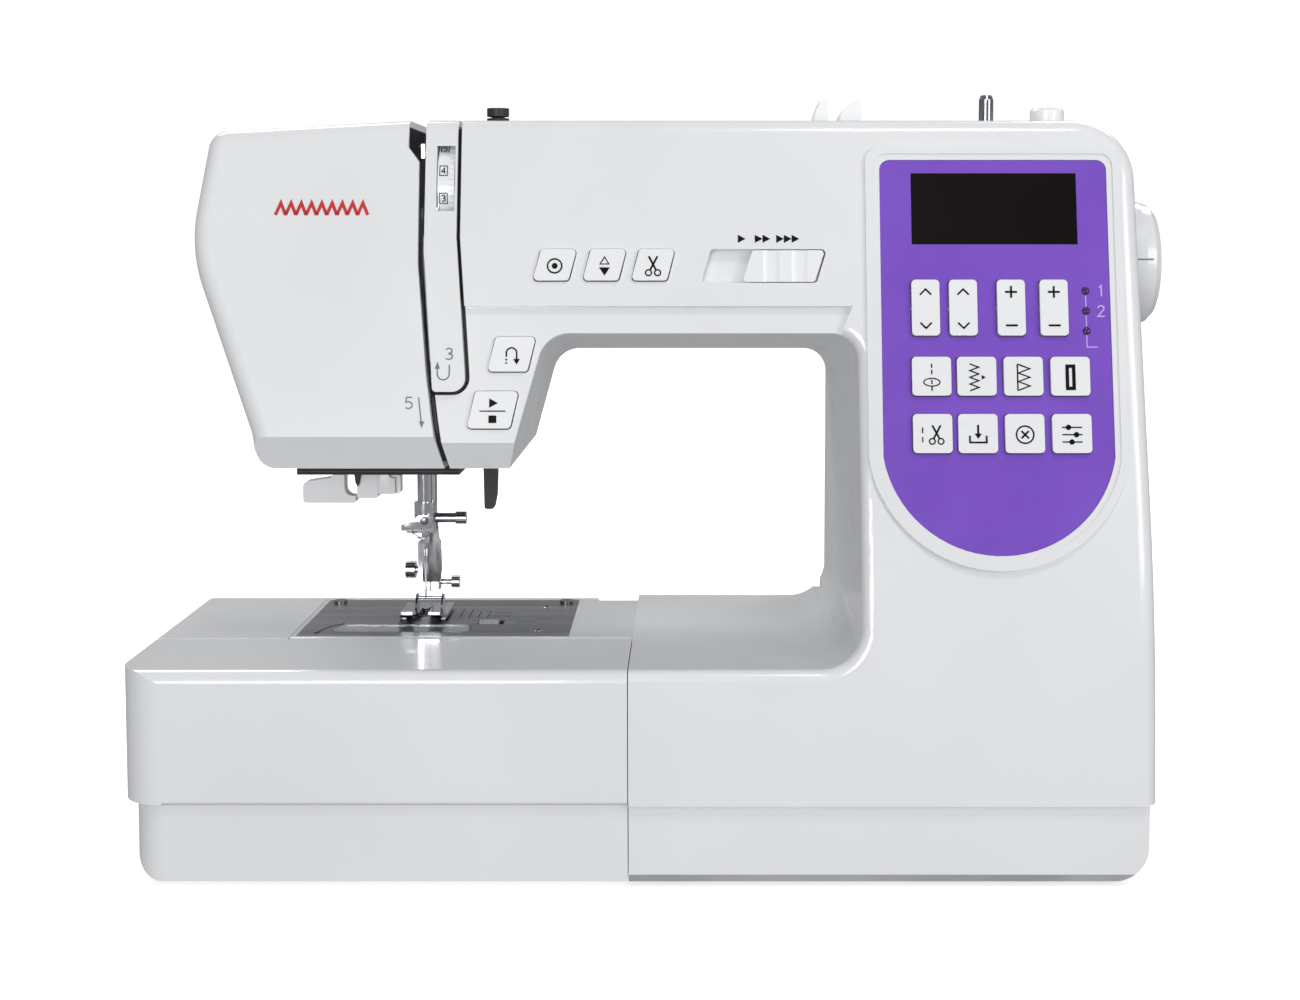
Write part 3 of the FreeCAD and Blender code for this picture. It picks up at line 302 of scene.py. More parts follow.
def mesh_through(name, rings):
    """Smooth closed mesh through rings of points in metres."""
    shape = bmesh.new()
    corners = [[shape.verts.new(point) for point in ring] for ring in rings]
    join_rings(shape, corners)
    shape.faces.new(corners[0][::-1])
    shape.faces.new(corners[-1])
    return from_bmesh(name, shape, smooth=True)


def unit_circle(sides):
    """Cosine and sine of even steps round one turn."""
    return [(math.cos(2 * math.pi * n / sides), math.sin(2 * math.pi * n / sides)) for n in range(sides)]


def upright(way):
    """An up direction that lies well away from the way given."""
    return (0, 0, 1) if abs(Vector(way).normalized().z) < 0.9 else (0, 1, 0)


def stand(place, normal, up=(0, 0, 1)):
    """Frame in metres at a place in millimetres: Z along the normal, Y as near to up as it can be."""
    out = Vector(normal).normalized()
    across = Vector(up).cross(out).normalized()
    turn = Matrix((across, out.cross(across), out)).transposed().to_4x4()
    return Matrix.Translation(Vector(place) * MM) @ turn


def lathe(name, profile, place, axis, body, slot, sides=40, material=None):
    """Turned piece: profile gives (radius, height) along the axis from the place."""
    where = stand(place, axis, upright(axis))
    rings = [[where @ (Vector((radius * c, radius * s, height)) * MM) for c, s in unit_circle(sides)]
             for radius, height in profile]
    make_piece(name, mesh_through(name, rings), body, slot, material)


def tube(name, points, radius, body, slot, sides=12):
    """Round bar of even radius along a polyline, millimetres."""
    spots = [Vector(point) for point in points]
    steep = abs((spots[1] - spots[0]).normalized().z) >= 0.9
    side = Vector((1, 0, 0)) if steep else Vector((0, 0, 1))
    rings = []
    for number, spot in enumerate(spots):
        way = (spots[min(number + 1, len(spots) - 1)] - spots[max(number - 1, 0)]).normalized()
        side = (side - way * side.dot(way)).normalized()
        other = way.cross(side)
        rings.append([(spot + side * radius * c + other * radius * s) * MM for c, s in unit_circle(sides)])
    make_piece(name, mesh_through(name, rings), body, slot)


def slab(name, outline, thickness, where, body, slot, edge=0.25):
    """Plate with softened edges: outline in millimetres in the frame's XY, thickness along its Z."""
    shape = bmesh.new()
    low, high = [[where @ (Vector((x, y, z)) * MM) for x, y in outline] for z in (0.0, thickness)]
    add_prism(shape, low, high)
    bmesh.ops.bevel(shape, geom=list(shape.edges), offset=edge * MM, segments=2, profile=0.6,
                    affect="EDGES")
    make_piece(name, from_bmesh(name, shape, smooth=True), body, slot)


# Plain figures as strokes round their own middle, one unit high.
DIGITS = {
    "1": [[(-0.12, 0.32), (0.08, 0.5), (0.08, -0.5)]],
    "2": [[(-0.28, 0.28), (-0.18, 0.45), (0.05, 0.5), (0.26, 0.38), (0.26, 0.16), (-0.3, -0.5),
           (0.32, -0.5)]],
    "3": [[(-0.28, 0.4), (0.0, 0.5), (0.25, 0.38), (0.22, 0.12), (-0.05, 0.03)],
          [(-0.05, 0.03), (0.28, -0.1), (0.28, -0.36), (0.0, -0.5), (-0.3, -0.4)]],
    "4": [[(0.14, -0.5), (0.14, 0.5), (-0.3, -0.2), (0.32, -0.2)]],
    "5": [[(0.26, 0.5), (-0.2, 0.5), (-0.26, 0.06), (0.04, 0.12), (0.28, -0.06), (0.28, -0.34),
           (0.02, -0.5), (-0.28, -0.42)]],
}


class Decal:
    """Flat print or relief built in the plane of a face: x across, y up, in millimetres."""

    def __init__(self, half_thickness=0.12):
        self.shape = bmesh.new()
        self.half_thickness = half_thickness

    def polygon(self, points):
        low, high = [[(x, y, z) for x, y in points] for z in (-self.half_thickness, self.half_thickness)]
        add_prism(self.shape, low, high)
        return self

    def disc(self, x, y, radius, sides=32):
        return self.polygon([(x + radius * c, y + radius * s) for c, s in unit_circle(sides)])

    def stroke(self, points, width, closed=False):
        """Line of even width with mitred corners."""
        spots = [Vector(point) for point in points]
        count = len(spots)
        left, right = [], []
        for number, spot in enumerate(spots):
            before = spots[number - 1] if closed or number else None
            after = spots[(number + 1) % count] if closed or number < count - 1 else None
            into = (spot - before).normalized() if before is not None else (after - spot).normalized()
            out = (after - spot).normalized() if after is not None else into
            normal = Vector((-(into + out).y, (into + out).x)).normalized()
            reach = width / 2 / max(0.4, normal.dot(Vector((-into.y, into.x))))
            left.append(spot + normal * reach)
            right.append(spot - normal * reach)
        for number in range(count if closed else count - 1):
            following = (number + 1) % count
            self.polygon([tuple(right[number]), tuple(right[following]), tuple(left[following]),
                          tuple(left[number])])
        return self

    def arc(self, x, y, radius, start, end, width, steps=20):
        angles = [math.radians(start + (end - start) * n / steps) for n in range(steps + 1)]
        return self.stroke([(x + radius * math.cos(a), y + radius * math.sin(a)) for a in angles], width)

    def ring(self, x, y, radius, width, sides=40):
        return self.stroke([(x + radius * c, y + radius * s) for c, s in unit_circle(sides)], width,
                           closed=True)

    def triangle(self, x, y, width, height):
        """Triangle centred on (x, y) that points right."""
        left, right = x - width / 2, x + width / 2
        return self.polygon([(left, y - height / 2), (right, y), (left, y + height / 2)])

    def tip(self, x, y, width, height):
        """Triangle pointing up for a positive height and down for a negative one."""
        base, point = y - height / 2, y + height / 2
        return self.polygon([(x - width / 2, base), (x + width / 2, base), (x, point)])

    def digit(self, figure, height, width):
        for line in DIGITS[figure]:
            self.stroke([(x * height, y * height) for x, y in line], width)
        return self

    def mesh(self, name, where):
        for vertex in self.shape.verts:
            vertex.co = where @ (vertex.co * MM)
        return from_bmesh(name, self.shape)


# Search trees of the nodes looked at so far, and where straight looks at the machine start.
SURFACES = {}
AHEAD, BEHIND = -200.0, 300.0
BELOW, ABOVE = -50.0, 400.0
FAR_LEFT, FAR_RIGHT = -400.0, 400.0


def surface_at(node, start, way):
    """Where a straight look from a point (millimetres) first meets a node, and the normal there."""
    if node not in SURFACES:
        mesh = nodes[node].data
        corners = [v.co for v in mesh.vertices]
        SURFACES[node] = BVHTree.FromPolygons(corners, [p.vertices[:] for p in mesh.polygons])
    place, normal, _, _ = SURFACES[node].ray_cast(Vector(start) * MM, Vector(way))
    if place is None:
        return None
    if normal.dot(Vector(way)) > 0:
        normal = -normal
    return place / MM, normal


def front_frame(node, x, z):
    """Frame lying on a node's front at (x, z), both in millimetres."""
    place, normal = surface_at(node, (x, AHEAD, z), (0, 1, 0))
    return stand(place, normal)


def print_on(node, name, decal, where, ink="black"):
    shader, slot = INKS[ink]
    make_piece(name, decal.mesh(name, where), BODY_OF[node], slot, shader.material)


def middle_of(node):
    low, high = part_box(node)
    return (low + high) / 2 / MM


def key_frame(node):
    middle = middle_of(node)
    return front_frame(node, middle.x, middle.z)


# ---------------------------------------------------------------- printed pictograms

def scissors(x=0.0, size=1.0):
    """Open scissors, points up."""
    decal = Decal()
    for side in (-1, 1):
        decal.ring(x + side * 1.75 * size, -2.7 * size, 1.15 * size, 0.55 * size, 24)
        decal.stroke([(x + side * 1.2 * size, -1.7 * size), (x - side * 1.7 * size, 3.8 * size)],
                     0.75 * size)
    return decal


def zigzag(x, low, high, reach, turns):
    step = (high - low) / turns
    points = [(x + reach * (1 if n % 2 else -1), low + n * step) for n in range(turns + 1)]
    return Decal().stroke(points, 0.55)


def up_mark():
    return Decal().stroke([(-2.2, -1.1), (0, 1.1), (2.2, -1.1)], 0.65)


def down_mark():
    return Decal().stroke([(-2.2, 1.1), (0, -1.1), (2.2, 1.1)], 0.65)


def minus():
    return Decal().stroke([(-2.3, 0), (2.3, 0)], 0.8)


def plus():
    return minus().stroke([(0, -2.3), (0, 2.3)], 0.8)


def straight_stitch():
    """Broken line with a thread loop round its lower end."""
    decal = Decal()
    for low in (-5.2, -2.6, 1.2, 3.6):
        decal.stroke([(0, low), (0, low + 1.7)], 0.5)
    return decal.stroke([(3.1 * c, -1.9 + 1.5 * s) for c, s in unit_circle(32)], 0.45, closed=True)


def zigzag_stitch():
    return zigzag(-1.0, -5.2, 5.2, 1.7, 8).triangle(2.6, 0.0, 1.6, 1.8)


def edge_stitch():
    return zigzag(0.2, -5.0, 5.0, 2.2, 6).stroke([(-2.3, -5.2), (-2.3, 5.2)], 0.55)


def buttonhole():
    return Decal().stroke([(-1.25, -4.3), (1.25, -4.3), (1.25, 4.3), (-1.25, 4.3)], 1.35, closed=True)


def remember():
    """Arrow going down into a tray: keep this setting."""
    decal = Decal().stroke([(-3.2, -0.4), (-3.2, -3.0), (3.2, -3.0), (3.2, -0.4)], 0.7)
    return decal.stroke([(0, 3.8), (0, 0.2)], 0.8).tip(0, -0.6, 2.8, -2.0)


def clear_all():
    """Ring with a cross in it."""
    decal = Decal().ring(0, 0, 3.3, 0.6)
    return decal.stroke([(-1.4, -1.4), (1.4, 1.4)], 0.7).stroke([(-1.4, 1.4), (1.4, -1.4)], 0.7)


def settings():
    """Three set lines, each with its own knob."""
    decal = Decal()
    for y, x in ((2.8, -1.4), (0.0, 1.6), (-2.8, -0.2)):
        decal.stroke([(-3.8, y), (3.8, y)], 0.5).disc(x, y, 1.05, 20)
    return decal


def cut_thread():
    """Scissors beside a cut thread."""
    decal = scissors(1.4, 0.95)
    return decal.stroke([(-3.9, -3.0), (-3.9, -0.9)], 0.5).stroke([(-3.9, 0.6), (-3.9, 2.7)], 0.5)


def stop_and_lock():
    return Decal().ring(0, 0, 2.75, 0.6).disc(0, 0, 1.15)


def needle_up_down():
    """Open triangle up over a filled one down."""
    decal = Decal().stroke([(-1.7, 0.75), (1.7, 0.75), (0, 3.5)], 0.4, closed=True)
    return decal.tip(0, -2.2, 4.2, -3.2)


def reverse_stitch():
    """Arch with an arrow down at the right and stitches under its left leg."""
    decal = Decal().arc(0, 0.9, 2.0, 180, 0, 0.6)
    decal.stroke([(2.0, 0.9), (2.0, -1.6)], 0.6).tip(2.0, -2.5, 2.6, -2.2)
    decal.stroke([(-2.0, 0.9), (-2.0, -0.6)], 0.6)
    return decal.disc(-2.0, -1.7, 0.38, 16).disc(-2.0, -3.0, 0.38, 16)


def start_and_stop():
    """Triangle over a line over a square."""
    decal = Decal().triangle(0.4, 3.1, 3.4, 3.6).stroke([(-5.0, 0), (5.0, 0)], 0.45)
    return decal.polygon([(-1.5, -4.6), (1.5, -4.6), (1.5, -1.7), (-1.5, -1.7)])


PATTERN_ICONS = (cut_thread, remember, clear_all, settings, straight_stitch, zigzag_stitch, edge_stitch,
                 buttonhole)
ROCKER_MARKS = ((up_mark, down_mark), (up_mark, down_mark), (plus, minus), (plus, minus))
BUTTON_ICONS = {"auto_lock_button": stop_and_lock, "needle_up_down_button": needle_up_down,
                "thread_cutter_button": scissors, "reverse_button": reverse_stitch,
                "start_stop_button": start_and_stop}
ROCKER_MARK_RISE = 6.4


def print_keys():
    for number, icon in enumerate(PATTERN_ICONS, start=1):
        node = f"pattern_key_{number}"
        print_on(node, f"{node}.icon", icon(), key_frame(node))
    for number, (upper, lower) in enumerate(ROCKER_MARKS, start=1):
        node = f"rocker_key_{number}"
        middle = middle_of(node)
        for end, mark, rise in (("upper", upper, ROCKER_MARK_RISE), ("lower", lower, -ROCKER_MARK_RISE)):
            print_on(node, f"{node}.{end}_mark", mark(), front_frame(node, middle.x, middle.z + rise))
    for node, icon in BUTTON_ICONS.items():
        print_on(node, f"{node}.icon", icon(), key_frame(node))


def print_slider_scale():
    """One, two and three arrows above the slider."""
    middle, spacing = 42.0, 3.0
    decal = Decal()
    for first, count in ((30.1, 1), (36.7, 2), (45.0, 3)):
        for number in range(count):
            decal.triangle(first + spacing / 2 + spacing * number - middle, 0.0, spacing, 3.2)
    print_on("front_cover", "speed_scale", decal, front_frame("front_cover", middle, 247.4))


LAMP_X, LAMP_HEIGHTS = 164.5, (227.3, 219.6, 211.9)
LAMP_PROFILE = [(1.5, -0.2), (1.5, 0.25), (1.2, 0.55), (0.6, 0.75), (0.05, 0.8)]


def print_panel():
    """Three lamps at the panel's right edge, joined by a thin line, the first two with a number."""
    for number, z in enumerate(LAMP_HEIGHTS, start=1):
        where = front_frame("control_panel", LAMP_X, z)
        lathe(f"panel_lamp_{number}", LAMP_PROFILE, where.translation / MM, where.col[2].to_3d(),
              BODY_OF["control_panel"], "display_black", material=LAMP_DARK)
    middle = LAMP_HEIGHTS[1]
    line = Decal(0.08)
    for upper, lower in ((225.6, 221.3), (217.9, 213.6)):
        line.stroke([(0, upper - middle), (0, lower - middle)], 0.4)
    line.stroke([(0, 210.2 - middle), (0, 205.5 - middle), (4.2, 205.5 - middle)], 0.4)
    print_on("control_panel", "panel_lamp_line", line, front_frame("control_panel", LAMP_X, middle),
             "lilac")
    for figure, z in zip("12", LAMP_HEIGHTS):
        print_on("control_panel", f"panel_number_{figure}", Decal(0.08).digit(figure, 4.2, 0.5),
                 front_frame("control_panel", 170.3, z), "lilac")


def print_threading():
    """Numbered arrows that show the thread's way: 3 round the slot's end, 5 down to the needle."""
    turn = Decal(0.1).arc(0, 0, 2.3, 180, 360, 0.5).stroke([(2.3, 0), (2.3, 3.6)], 0.5)
    turn.stroke([(-2.3, 0), (-2.3, 2.2)], 0.5).tip(-2.3, 3.4, 2.0, 2.8)
    down = Decal(0.1).stroke([(-0.8, 5.8), (0.4, -3.6)], 0.5).tip(0.6, -4.8, 2.0, -2.8)
    three, five = [Decal(0.1).digit(figure, 4.4, 0.5) for figure in "35"]
    for node, name, decal, x, z in (("thread_channel_cover", "thread_arrow_3", turn, -83.4, 195.6),
                                    ("thread_channel_cover", "thread_number_3", three, -81.3, 203.2),
                                    ("face_cover", "thread_arrow_5", down, -91.9, 181.0),
                                    ("face_cover", "thread_number_5", five, -96.4, 184.6)):
        print_on(node, name, decal, front_frame(node, x, z), "grey")


def print_emblem():
    """Plain red row of stitches across the head."""
    row = Decal(0.1)
    for number in range(9):
        x = -16.0 + 4.0 * number
        row.stroke([(x, -2.4), (x + 2.0, 2.4), (x + 4.0, -2.4)], 1.3)
    print_on("face_cover", "stitch_emblem", row, front_frame("face_cover", -134.0, 259.0), "red")


def dress_dial():
    """Figures in boxes and a ribbed edge round the dial's rim."""
    first_figure, figure_step = -69.0, 30.0
    low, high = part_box("tension_dial")
    middle = (low + high) / 2 / MM
    radius = (high.z - low.z) / 2 / MM
    for number, figure in enumerate("12345"):
        angle = math.radians(first_figure + figure_step * number)
        out = Vector((0, -math.cos(angle), math.sin(angle)))
        place = Vector((middle.x - 1.0, middle.y, middle.z)) + out * radius
        decal = Decal(0.08).digit(figure, 2.4, 0.42)
        decal.stroke([(-1.5, -2.0), (1.5, -2.0), (1.5, 2.0), (-1.5, 2.0)], 0.3, closed=True)
        print_on("tension_dial", f"dial_figure_{figure}", decal, stand(place, out))
    ribs = bmesh.new()
    for c, s in unit_circle(60):
        out, round_way = Vector((0, c, s)), Vector((0, -s, c))
        corners = []
        for x in (high.x / MM - 2.2, high.x / MM - 0.3):
            for reach, half in ((-0.25, 0.55), (0.3, 0.25)):
                for side in (-1, 1):
                    centre = Vector((x, middle.y, middle.z))
                    corner = centre + out * (radius + reach) + round_way * half * side
                    corners.append(ribs.verts.new(corner * MM))
        bmesh.ops.convex_hull(ribs, input=corners)
    make_piece("dial_ribs", from_bmesh("dial_ribs", ribs), BODY_OF["tension_dial"], "key_plastic")


# ---------------------------------------------------------------- added hardware

REAR_SCREWS = ((-80.0, 240.0), (100.0, 270.0), (172.0, 240.0), (172.0, 30.0), (20.0, 30.0))
BASE_SCREWS = ((10.0, -50.0), (168.0, -45.0), (10.0, 48.0), (168.0, 60.0))
PLATE_SCREWS = ((-52.0, 33.0), (-52.0, -15.0))
ABOVE_PLATE = 200.0
NEEDLE_X = -103.0
FORWARD = (0, -1, 0)


def screw(name, node, start, way, radius=3.0, sunk=0.0):
    """Pan-head screw where a straight look from start meets a node; the cross in its head is printed black
    on the dome, as painted shade for a sunk cross.
    """
    surface, normal = surface_at(node, start, way)
    place = surface - normal * sunk
    profile = [(radius, -0.6), (radius, 0.2), (radius * 0.92, 0.7), (radius * 0.6, 1.05),
               (radius * 0.05, 1.15)]
    lathe(name, profile, place, normal, BODY_OF[node], "chrome", 28)
    arm, width = radius * 0.55, radius * 0.22
    # Painted shade: the sunk cross is not cut but printed black on the head.
    cross = Decal(0.08).stroke([(-arm, 0), (arm, 0)], width).stroke([(0, -arm), (0, arm)], width)
    where = stand(place + normal.normalized() * 1.1, normal, upright(normal))
    print_on(node, f"{name}.painted_recess_shade", cross, where)


def add_screws():
    for number, (x, z) in enumerate(REAR_SCREWS, start=1):
        screw(f"rear_screw_{number}", "rear_cover", (x, BEHIND, z), (0, -1, 0))
    for number, (x, y) in enumerate(BASE_SCREWS, start=1):
        screw(f"base_screw_{number}", "base_plate", (x, y, BELOW), (0, 0, 1), 2.6, 1.0)
    for number, (x, y) in enumerate(PLATE_SCREWS, start=1):
        screw(f"plate_screw_{number}", "needle_plate", (x, y, ABOVE_PLATE), (0, 0, -1), 2.4, 0.8)
    screw("face_cover_screw", "face_cover", (FAR_LEFT, 20.0, 200.0), (1, 0, 0), 2.6)


def print_needle_plate():
    """Seam guide lines right of the needle and the bobbin thread's path at the left."""
    lines = Decal(0.04)
    for x in (-88.0, -84.0, -80.0, -76.0):
        lines.stroke([(x, 10.0), (x, 24.0 if x > -84.0 else 28.0)], 0.35)
    for y in (14.0, 20.0):
        lines.stroke([(-74.0, y), (-66.0, y)], 0.35)
    lines.stroke([(-62.0, 2.0), (-55.0, 2.0)], 0.35)
    top, _ = surface_at("needle_plate", (-70.0, 20.0, ABOVE), (0, 0, -1))
    where = Matrix.Translation((0, 0, top.z * MM))
    print_on("needle_plate", "seam_guide_lines", lines, where)
    path = Decal(0.05)
    path.stroke([(-143.5, -19.0), (-142.0, -12.0), (-139.5, -6.5), (-135.5, -1.5)], 0.9)
    path.tip(-143.8, -20.4, 2.6, -2.8)
    print_on("needle_plate", "bobbin_thread_path", path, where)


def gap_middle(left, right, z, start, end):
    """X of the middle of the slot between two covers at one height, found by looking through it."""
    look_step, open_behind = 0.2, -20.0
    open_spots = []
    for step in range(int((end - start) / look_step)):
        x = start + look_step * step
        hits = [surface_at(node, (x, AHEAD, z), (0, 1, 0)) for node in (left, right)]
        if all(hit is None or hit[0].y > open_behind for hit in hits):
            open_spots.append(x)
    return sum(open_spots) / len(open_spots) if open_spots else None


def slot_line(left, right, heights, start, end, beside, depth):
    """Points that follow a slot, a set depth behind the face that lies beside it at x."""
    points = []
    for z in heights:
        x = gap_middle(left, right, z, start, end)
        face = surface_at(left, (beside, AHEAD, z), (0, 1, 0))
        if x is not None and face is not None:
            points.append((x, face[0].y + depth, z))
    return points


def add_slot_guide_and_painted_shade():
    """Bright thread guide in the left slot; black linings behind the right slot and the lower one, painted
    shade that darkens the slots in the place of the head's inner thread guard.
    """
    body = BODY_OF["thread_channel_cover"]
    guide = slot_line("face_cover", "thread_channel_cover", range(284, 199, -12), -103.0, -83.0, -120.0, 3.4)
    tube("slot_guide_strip", [(x + 0.9, y, z) for x, y, z in guide], 0.75, body, "chrome")
    # The two black linings are painted shade: they darken the slots and hide the backdrop behind them.
    right = slot_line("thread_channel_cover", "front_cover", range(290, 191, -7), -82.0, -68.0, -84.0, 5.4)
    tube("slot_painted_shade_right", right, 1.9, body, "black_plastic")
    lower = slot_line("face_cover", "front_cover", range(186, 158, -4), -96.0, -78.0, -120.0, 5.4)
    tube("slot_painted_shade_lower", lower, 1.9, body, "black_plastic")


def mark_power_switch():
    """Line for on and ring for off on the rocker."""
    middle = middle_of("power_switch")
    for name, decal, rise in (("on", Decal(0.1).stroke([(0, -2.0), (0, 2.0)], 0.7), 6.0),
                              ("off", Decal(0.1).ring(0, 0, 2.0, 0.6), -6.0)):
        place, normal = surface_at("power_switch", (FAR_RIGHT, middle.y, middle.z + rise), (-1, 0, 0))
        print_on("power_switch", f"power_{name}_mark", decal, stand(place, normal), "white")


def add_rating_plate():
    """Blank plate with rounded corners on the rear cover."""
    place, normal = surface_at("rear_cover", (131.0, BEHIND, 122.0), (0, -1, 0))
    half_width, half_height, corner_radius, steps = 22.0, 11.0, 2.5, 6
    quarter = [(math.cos(math.pi / 2 * n / steps), math.sin(math.pi / 2 * n / steps))
               for n in range(steps + 1)]
    outline = []
    for number, (right, up) in enumerate(((1, 1), (-1, 1), (-1, -1), (1, -1))):
        turn = number * math.pi / 2
        for c, s in quarter:
            across = corner_radius * (c * math.cos(turn) - s * math.sin(turn))
            along = corner_radius * (c * math.sin(turn) + s * math.cos(turn))
            outline.append((right * half_width + across, up * half_height + along))
    slab("rating_plate", outline, 0.5, stand(place, normal), BODY_OF["rear_cover"], "grey_plastic", 0.12)


def add_handwheel_mark():
    """Index line across the handwheel's rim, on the side that faces the user."""
    middle = middle_of("handwheel")
    mark = Decal(0.1).stroke([(-3.4, 0), (3.4, 0)], 0.6)
    where = front_frame("handwheel", middle.x, middle.z + 2.0)
    print_on("handwheel", "handwheel_index", mark, where, "grey")


def add_needle_hardware():
    """Clamp plate, rivet and thread guide at the needle, cover and rib on the foot's shank."""
    x, unit = NEEDLE_X, "needle_unit"
    low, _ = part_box("needle_bar")
    front, bottom = low.y / MM, low.z / MM
    plate = [(-9.5, 0.0), (3.0, 0.0), (4.4, 3.0), (4.4, 6.8), (-2.0, 6.8), (-5.2, 3.4), (-9.5, 2.4)]
    slab("needle_clamp_plate", plate, 1.3, stand((x, front - 0.2, bottom + 1.2), FORWARD), unit, "chrome")
    lathe("needle_clamp_rivet", [(1.8, -1.0), (1.8, 1.3), (1.3, 1.9), (0.1, 2.1)],
          (x + 0.5, front - 0.2, bottom + 5.6), FORWARD, unit, "dark_steel", 24)
    guide = [(x - 4.5, front + 1.5, bottom + 2.0), (x - 4.5, front - 2.6, bottom + 0.6),
             (x - 2.2, front - 3.4, bottom - 1.2), (x + 0.6, front - 2.6, bottom - 2.0),
             (x + 2.2, front - 0.6, bottom - 0.8), (x + 2.2, front + 2.6, bottom + 1.2)]
    tube("needle_thread_guide", guide, 0.5, unit, "chrome")
    low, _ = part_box("foot_holder")
    front, bottom = low.y / MM, low.z / MM
    body = BODY_OF["foot_holder"]
    shank = [(-3.9, 0.0), (3.6, 0.0), (4.6, 6.0), (4.4, 14.0), (3.2, 22.0), (2.8, 30.0), (-3.2, 30.0),
             (-3.9, 12.0)]
    slab("foot_shank_cover", shank, 1.2, stand((x + 1.6, front + 0.4, bottom + 4.0), FORWARD), body,
         "dark_steel", 0.35)
    rib = [(-1.1, 0.0), (1.1, 0.0), (1.1, 16.0), (-1.1, 16.0)]
    slab("foot_shank_rib", rib, 1.0, stand((x - 0.6, front - 0.6, bottom + 5.5), FORWARD), body,
         "chrome", 0.3)


def add_threader_hook():
    """Small black hook and white carrier of the needle threader, under the head."""
    body = BODY_OF["needle_threader"]
    low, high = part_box("needle_threader")
    front = low.y / MM - 0.2
    hook = [(-3.6, 0.0), (3.8, 0.0), (3.8, -3.2), (0.6, -4.0), (0.2, -8.6), (-0.6, -10.4), (-1.6, -8.4),
            (-2.0, -3.4), (-3.6, -2.6)]
    slab("threader_hook", hook, 1.6, stand((low.x / MM + 1.2, front, 151.6), FORWARD), body,
         "black_plastic", 0.3)
    carrier = [(0, 0), (7.4, 0), (7.4, 7.0), (5.0, 7.0), (4.4, 9.0), (0, 9.0)]
    slab("threader_carrier", carrier, 1.0, stand((high.x / MM - 9.4, front, 138.0), FORWARD), body,
         "key_plastic", 0.3)


def add_satin_foot():
    """Foot sole with two turned-up toes and a slot, then its ears, cross pin and side guide blade."""
    body = BODY_OF["presser_foot"]
    low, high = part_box("presser_foot")
    x, front, rear, bottom = NEEDLE_X, low.y / MM, high.y / MM, low.z / MM
    steps, thickness, toe_length = 14, 1.3, 8.0
    shape = bmesh.new()
    for side in (-1, 1):
        strips = []
        for step in range(steps + 1):
            y = front + 0.4 + (rear - front - 0.8) * step / steps
            level = bottom + max(0.0, front + toe_length - y) ** 2 * 0.045
            outer = 10.4 if step > 2 else 8.2 + step
            inner = 3.4 if y < front + 9.0 else (2.2 if y < 20.0 else 0.0)
            strips.append([shape.verts.new(Vector((x + side * reach, y, level + rise)) * MM)
                           for reach, rise in ((inner, 0.0), (outer, 0.0), (outer, thickness),
                                               (inner, thickness))])
        join_rings(shape, strips)
        shape.faces.new(strips[0])
        shape.faces.new(strips[-1][::-1])
    sole = make_piece("foot_sole", from_bmesh("foot_sole", shape, smooth=True), body, "chrome")
    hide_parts("presser_foot")
    ear = [(0, 0), (9.0, 0), (8.0, 4.6), (5.6, 5.8), (3.2, 4.6)]
    for side, name in ((-1, "left"), (1, "right")):
        where = stand((x + side * 5.6, rear - 13.0, bottom + 1.0), (1, 0, 0))
        slab(f"foot_ear_{name}", ear, 1.0, where, body, "chrome", 0.2)
    pin = [(x + reach, rear - 8.0, bottom + 5.0) for reach in (-5.8, 6.8)]
    tube("foot_cross_pin", pin, 0.7, body, "chrome", 14)
    slab("foot_guide_blade", [(0, 0), (8.0, 0), (6.4, 4.4), (1.2, 5.6)], 0.6,
         stand((x + 3.6, front + 4.0, bottom + 1.0), (1, 0, 0)), body, "clear_plastic", 0.15)


def add_details():
    print_keys()
    print_slider_scale()
    print_panel()
    print_threading()
    print_emblem()
    dress_dial()
    add_screws()
    print_needle_plate()
    add_slot_guide_and_painted_shade()
    add_handwheel_mark()
    mark_power_switch()
    add_rating_plate()
    add_needle_hardware()
    add_threader_hook()
    add_satin_foot()


# ---------------------------------------------------------------- stage

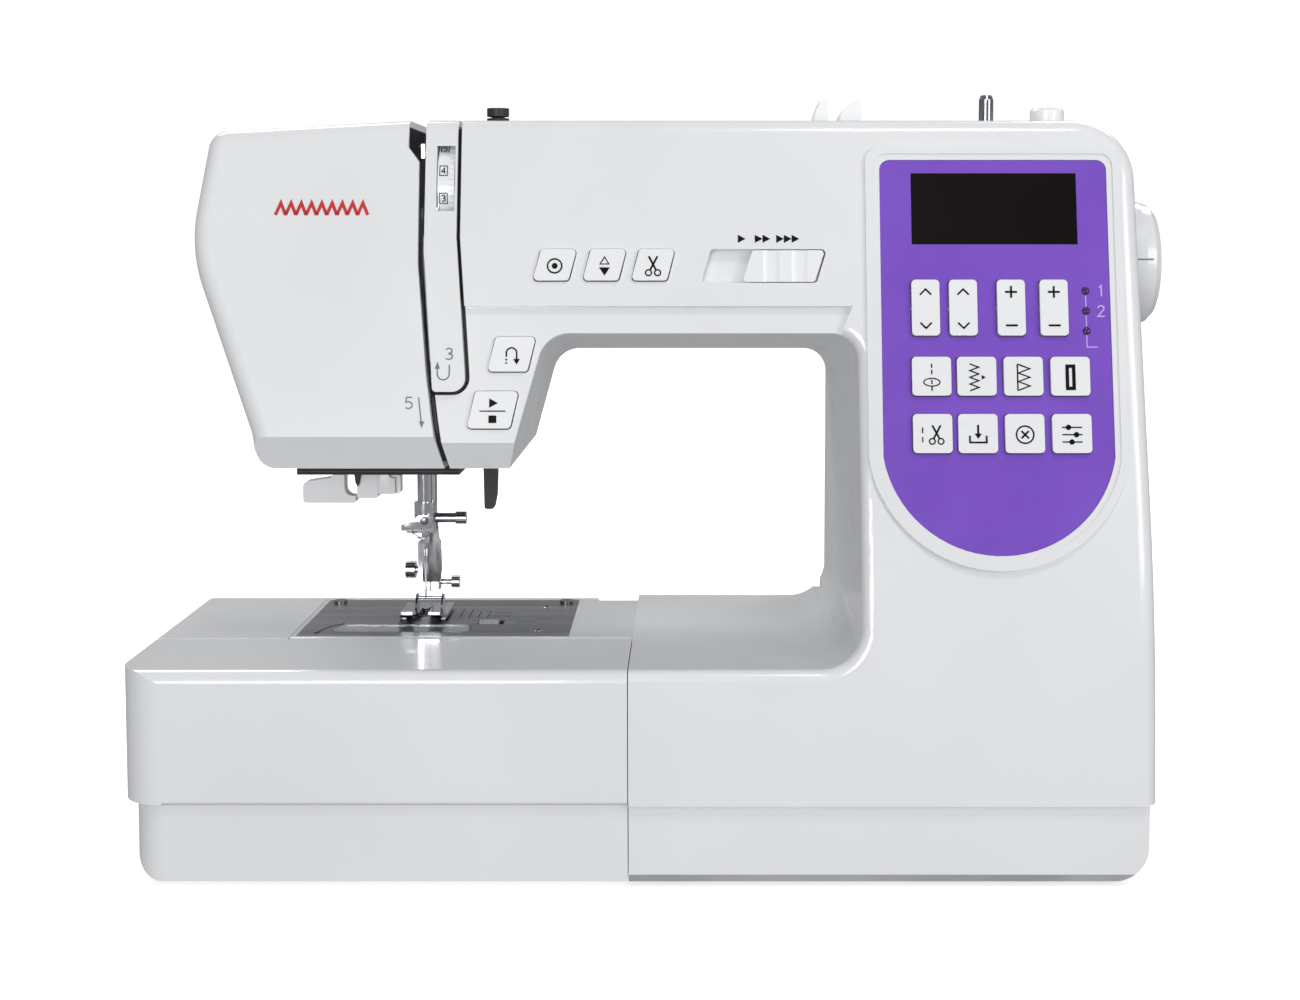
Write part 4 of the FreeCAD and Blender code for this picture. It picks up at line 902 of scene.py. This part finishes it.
def make_stage():
    """Round pale floor whose rim curves up into a wall; diffuse and glossy rays pass through it."""
    flat, bend, wall_top, steps, sides = 2.2, 1.0, 3.2, 14, 96
    below_feet = 0.0003
    profile = [(0.02, 0.0), (flat, 0.0)]
    profile += [(flat + bend * math.sin(angle), bend - bend * math.cos(angle))
                for angle in [math.pi / 2 * n / steps for n in range(1, steps + 1)]]
    profile.append((flat + bend, wall_top))
    shape = bmesh.new()
    rings = [[shape.verts.new((radius * c, radius * s, height - below_feet)) for c, s in unit_circle(sides)]
             for radius, height in profile]
    join_rings(shape, rings)
    shape.faces.new(rings[0])
    mesh = from_bmesh("backdrop", shape, smooth=True)
    floor = bpy.data.objects.new("backdrop", mesh)
    bpy.context.scene.collection.objects.link(floor)
    paper = Shader("paper", 0.85)
    paper.colours(paper.noise(3.0), (0.90, 0.905, 0.91), (0.92, 0.925, 0.93))
    paper.roughness(paper.noise(20.0), 0.8, 0.9)
    paper.bump(paper.noise(400.0), 0.02)
    paper.set(Emission_Color=(1.0, 1.0, 1.0, 1.0), Emission_Strength=0.62)
    mesh.materials.append(paper.material)
    floor.visible_diffuse = False
    floor.visible_glossy = False


def soft_light(name, place, target, size, power):
    data = bpy.data.lights.new(name, "AREA")
    data.energy = power
    data.size = size
    lamp = bpy.data.objects.new(name, data)
    lamp.location = place
    lamp.rotation_euler = (Vector(target) - Vector(place)).to_track_quat("-Z", "Y").to_euler()
    bpy.context.scene.collection.objects.link(lamp)


def make_lights():
    middle = (0, 0, 0.15)
    soft_light("key_front", (-0.45, -1.75, 0.28), middle, 0.6, 11)
    soft_light("fill_right", (1.3, -1.3, 0.6), middle, 0.8, 9)
    soft_light("spot_top", (0.25, -0.7, 1.25), middle, 0.28, 3.0)
    soft_light("rear_left", (-0.9, 1.3, 1.9), middle, 0.9, 17)
    soft_light("rear_right", (1.0, 1.4, 1.7), middle, 0.9, 14)
    world = bpy.data.worlds.new("studio")
    world.use_nodes = True
    backdrop = world.node_tree.nodes["Background"]
    backdrop.inputs["Color"].default_value = (0.95, 0.96, 0.98, 1)
    backdrop.inputs["Strength"].default_value = 0.34
    bpy.context.scene.world = world
    bpy.context.scene.view_settings.view_transform = "Standard"


def make_camera():
    """Eye level with the arm, close in front, tipped slightly down."""
    tip_down = 4.0
    data = bpy.data.cameras.new("camera")
    data.lens = 50.0
    data.sensor_width = 36.0
    data.shift_x = -0.0307692
    data.shift_y = -0.1069231
    data.clip_start = 0.01
    eye = bpy.data.objects.new("camera", data)
    eye.location = (0.0115, -0.760, 0.249)
    eye.rotation_euler = (math.radians(90.0 - tip_down), 0.0, 0.0)
    bpy.context.scene.collection.objects.link(eye)
    bpy.context.scene.camera = eye


dress_cad_nodes()
add_details()
make_stage()
make_lights()
make_camera()
